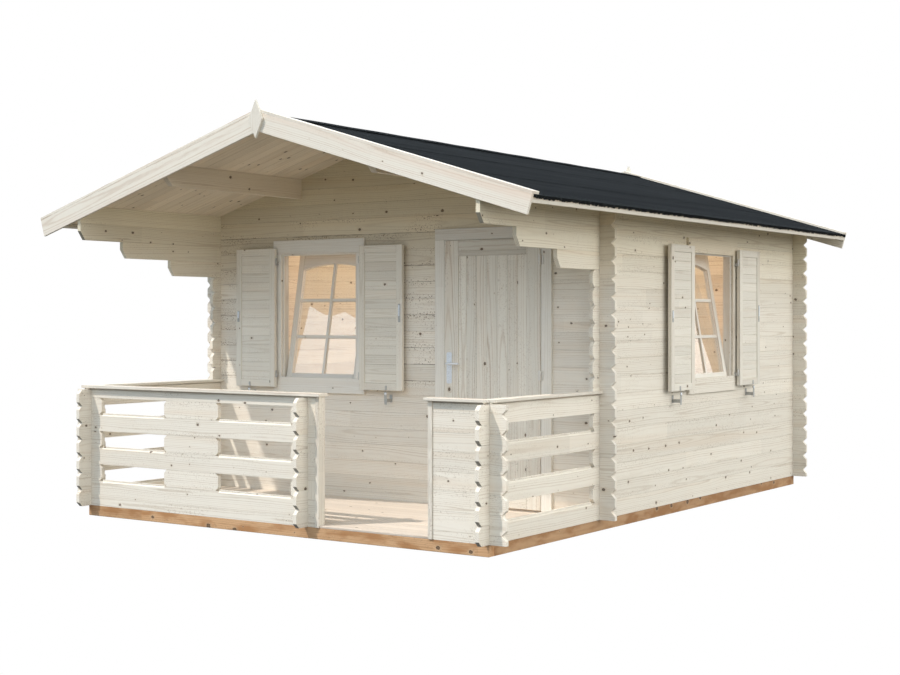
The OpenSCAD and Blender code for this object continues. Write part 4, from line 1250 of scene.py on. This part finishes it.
windowPlan = {
    "tilt": 10.0,
    "bar": 0.023,
    "barDeep": 0.010,
    "openHalf": 0.346,
    "paneHalf": 0.286,
    "paneFoot": 0.050,
    "paneHigh": 0.814,
    "edge": 0.0022,
    "sashEdge": 0.004,
    "sashOut": 0.0226,
    "sashFoot": 0.9071,
    "sashThick": 0.040,
    "glassThick": 0.004,
    "stepWide": 0.010,
    "stepY": (0.002, 0.016),
    "openFoot": 0.900,
    "openHead": 1.824,
    "frontX": -0.654,
    "sideY": 1.696,  # from the front wall's face
    "reachX": (-0.4, 0.4),
    "reachY": (-0.05, 0.3),
    "joint": 0.0004,
    "overlap": 0.001,
    "barEdge": 0.003,
    "barGap": 0.0003,
    "glassGap": 0.0002,
    "barShares": (1 / 3, 2 / 3),
}
frontWindow = Matrix.Translation((windowPlan["frontX"], wallFace, 0))
sideWindow = (Matrix.Translation((sideFace, wallFace + windowPlan["sideY"], 0))
              @ Matrix.Rotation(math.pi / 2, 4, "Z"))
windowPlaces = (frontWindow, sideWindow)

frames, sashes = bmesh.new(), bmesh.new()
frameSolid, sashSolid = solidOf("window_frames"), solidOf("window_sashes")
for place in windowPlaces:
    for solid, half, target in ((frameSolid, windowPlan["openHalf"], frames),
                                (sashSolid, windowPlan["paneHalf"], sashes)):
        own = solid.copy()
        moveBy(own, place.inverted())
        own = between(between(own, yAxis, *windowPlan["reachY"]), xAxis, *windowPlan["reachX"])
        inner = half - windowPlan["joint"]
        for low, high in ((None, -half), (-inner, inner), (half, None)):
            part = between(own, xAxis, low, high)
            moveBy(part, place)
            addFrom(target, part)
        own.free()
    # Step in the frame, seen inside the trim
    step = bmesh.new()
    inner = windowPlan["openHalf"] - windowPlan["stepWide"]
    outer = windowPlan["openHalf"] + windowPlan["overlap"]
    top = windowPlan["openHead"]
    addSurround(step, (-outer, -inner, inner, outer), windowPlan["stepY"], windowPlan["openFoot"],
                top - windowPlan["stepWide"], top + windowPlan["overlap"])
    moveBy(step, place)
    addFrom(frames, step)
ease(frames, windowPlan["edge"])
ease(sashes, windowPlan["sashEdge"])
addGrain(frames, "window frames")
addGrain(sashes, "window sashes")
makePiece("windowFrames", frames, "trim", nodes=("window_frames",), finish="joinery")
makePiece("windowSashes", sashes, "trim", nodes=("window_sashes",), finish="joinery")

bars = bmesh.new()
barHalf = windowPlan["bar"] / 2
barSide = barHalf + windowPlan["barGap"]
glassMiddle, glassHalf = windowPlan["sashThick"] / 2, windowPlan["glassThick"] / 2 + windowPlan["glassGap"]
tilted = (Matrix.Translation((0, windowPlan["sashOut"], windowPlan["sashFoot"]))
          @ Matrix.Rotation(math.radians(-windowPlan["tilt"]), 4, "X"))
for place in windowPlaces:
    own = bmesh.new()
    for y0 in (glassMiddle - glassHalf - windowPlan["barDeep"], glassMiddle + glassHalf):
        y1 = y0 + windowPlan["barDeep"]
        foot, top = windowPlan["paneFoot"], windowPlan["paneFoot"] + windowPlan["paneHigh"]
        addBoard(own, (-barHalf, y0, foot), (barHalf, y1, top - windowPlan["overlap"]))
        for share in windowPlan["barShares"]:
            z = foot + windowPlan["paneHigh"] * share
            for x0, x1 in ((-windowPlan["paneHalf"], -barSide), (barSide, windowPlan["paneHalf"])):
                addBoard(own, (x0, y0, z - barHalf), (x1, y1, z + barHalf))
    moveBy(own, place @ tilted)
    addFrom(bars, own)
ease(bars, windowPlan["barEdge"])
addGrain(bars, "glazing bars")
makePiece("glazingBars", bars, "trim", finish="joinery")
print("windows joined")


# Shutters: framed, boarded across, with a small pull latch

shutterPlan = {
    "near": 0.391,
    "far": 0.767,
    "front": -0.059,
    "back": -0.032,
    "foot": 0.853,
    "head": 1.868,
    "frame": 0.050,
    "deep": 0.005,
    "boards": 14,
    "edge": 0.002,
    "boardEdge": 0.002,
    "joint": 0.0004,
    "shift": 0.014,  # the shutters' middle lies nearer the porch corner than the window's
    "latches": {-1: (1.330, 1.412), 1: (1.330, 1.457)},
    "latchIn": 0.45,  # share of the frame's width
    "latchHalf": 0.010,
    # Plate, bright raised bar and foot: share of the width, depths, shares of the length, material
    "latchParts": ((1.0, -0.0018, 0.0, 0.0, 1.0, 0), (0.62, -0.0062, -0.0019, 0.34, 0.94, 1),
                   (0.8, -0.0044, -0.0019, 0.08, 0.24, 0)),
    "latchEdge": 0.0008,
    "latchScrews": (0.04, 0.29, 0.97),
    "latchFace": 0.0019,
    "screw": (0.0024, 0.001),
    "knuckleEdge": 0.0006,
    "buttonShare": 0.64,
    "buttonHalf": 0.008,
    "buttonHigh": 0.034,
    "buttonThick": 0.0045,
    "buttonUp": 0.002,
    "buttonEdge": 0.0018,
}
frontShutters = frontWindow @ Matrix.Translation((shutterPlan["shift"], 0, 0))
sideShutters = sideWindow @ Matrix.Translation((-shutterPlan["shift"], 0, 0))


def makeShutter(name, node, body, place, hand):
    plan = shutterPlan
    wood = bmesh.new()

    def board(target, x0, x1, y0, y1, z0, z1):
        return addBoard(target, (min(hand * x0, hand * x1), y0, z0), (max(hand * x0, hand * x1), y1, z1))

    inner, outer = plan["near"] + plan["frame"], plan["far"] - plan["frame"]
    for x0, x1 in ((plan["near"], inner), (outer, plan["far"])):
        board(wood, x0, x1, plan["front"], plan["back"], plan["foot"], plan["head"])
    for z0 in (plan["foot"], plan["head"] - plan["frame"]):
        board(wood, inner, outer, plan["front"], plan["back"], z0, z0 + plan["frame"])
    ease(wood, plan["edge"])
    slats = bmesh.new()
    bottom = plan["foot"] + plan["frame"]
    pitch = (plan["head"] - plan["frame"] - bottom) / plan["boards"]
    for i in range(plan["boards"]):
        z0 = bottom + i * pitch
        board(slats, inner, outer, plan["front"] + plan["deep"], plan["back"] - plan["deep"],
              z0, z0 + pitch - plan["joint"])
    ease(slats, plan["boardEdge"], 1)
    addFrom(wood, slats)
    addGrain(wood, node)
    moveBy(wood, place)
    makePiece(name, wood, "shutter", body, (node,))

    # Knuckles from the CAD shape, outside the leaf's edge
    solid = solidOf(node)
    moveBy(solid, place.inverted())
    gap = plan["near"] - plan["joint"]
    steel = between(solid, xAxis, None, gap) if hand > 0 else between(solid, xAxis, -gap, None)
    solid.free()
    ease(steel, plan["knuckleEdge"], 1)
    # The latch is kept flat, so that it clears the window's trim when the shutter is closed
    middle = plan["far"] - plan["frame"] * plan["latchIn"]
    low, high = plan["latches"][hand]
    long, wide = high - low, plan["latchHalf"]
    latch = bmesh.new()
    for share, y0, y1, z0, z1, shiny in plan["latchParts"]:
        made = board(latch, middle - wide * share, middle + wide * share, plan["front"] + y0,
                     plan["front"] + y1, low + long * z0, low + long * z1)
        for face in linked(made, "link_faces"):
            face.material_index = shiny
    ease(latch, plan["latchEdge"])
    for z in plan["latchScrews"]:
        spot = Vector((hand * middle, plan["front"] - plan["latchFace"], low + long * z))
        addScrew(latch, spot, -yAxis, *plan["screw"])
    addFrom(steel, latch)
    button = bmesh.new()
    middle = plan["near"] + (plan["far"] - plan["near"]) * plan["buttonShare"]
    board(button, middle - plan["buttonHalf"], middle + plan["buttonHalf"], plan["front"] - plan["buttonThick"],
          plan["front"], plan["foot"] + plan["buttonUp"], plan["foot"] + plan["buttonHigh"])
    ease(button, plan["buttonEdge"])
    addFrom(steel, button)
    moveBy(steel, place)
    fittings = makePiece(name + "Steel", steel, "steel", body, finish="catch")
    fittings.data.materials.append(materials["steel"])


makeShutter("frontLeftShutter", "front_left_shutter", "front_left_leaf", frontShutters, -1)
makeShutter("frontRightShutter", "front_right_shutter", "front_right_leaf", frontShutters, 1)
makeShutter("sideFrontShutter", "side_front_shutter", "side_front_leaf", sideShutters, -1)
makeShutter("sideRearShutter", "side_rear_shutter", "side_rear_leaf", sideShutters, 1)
print("shutters hung")
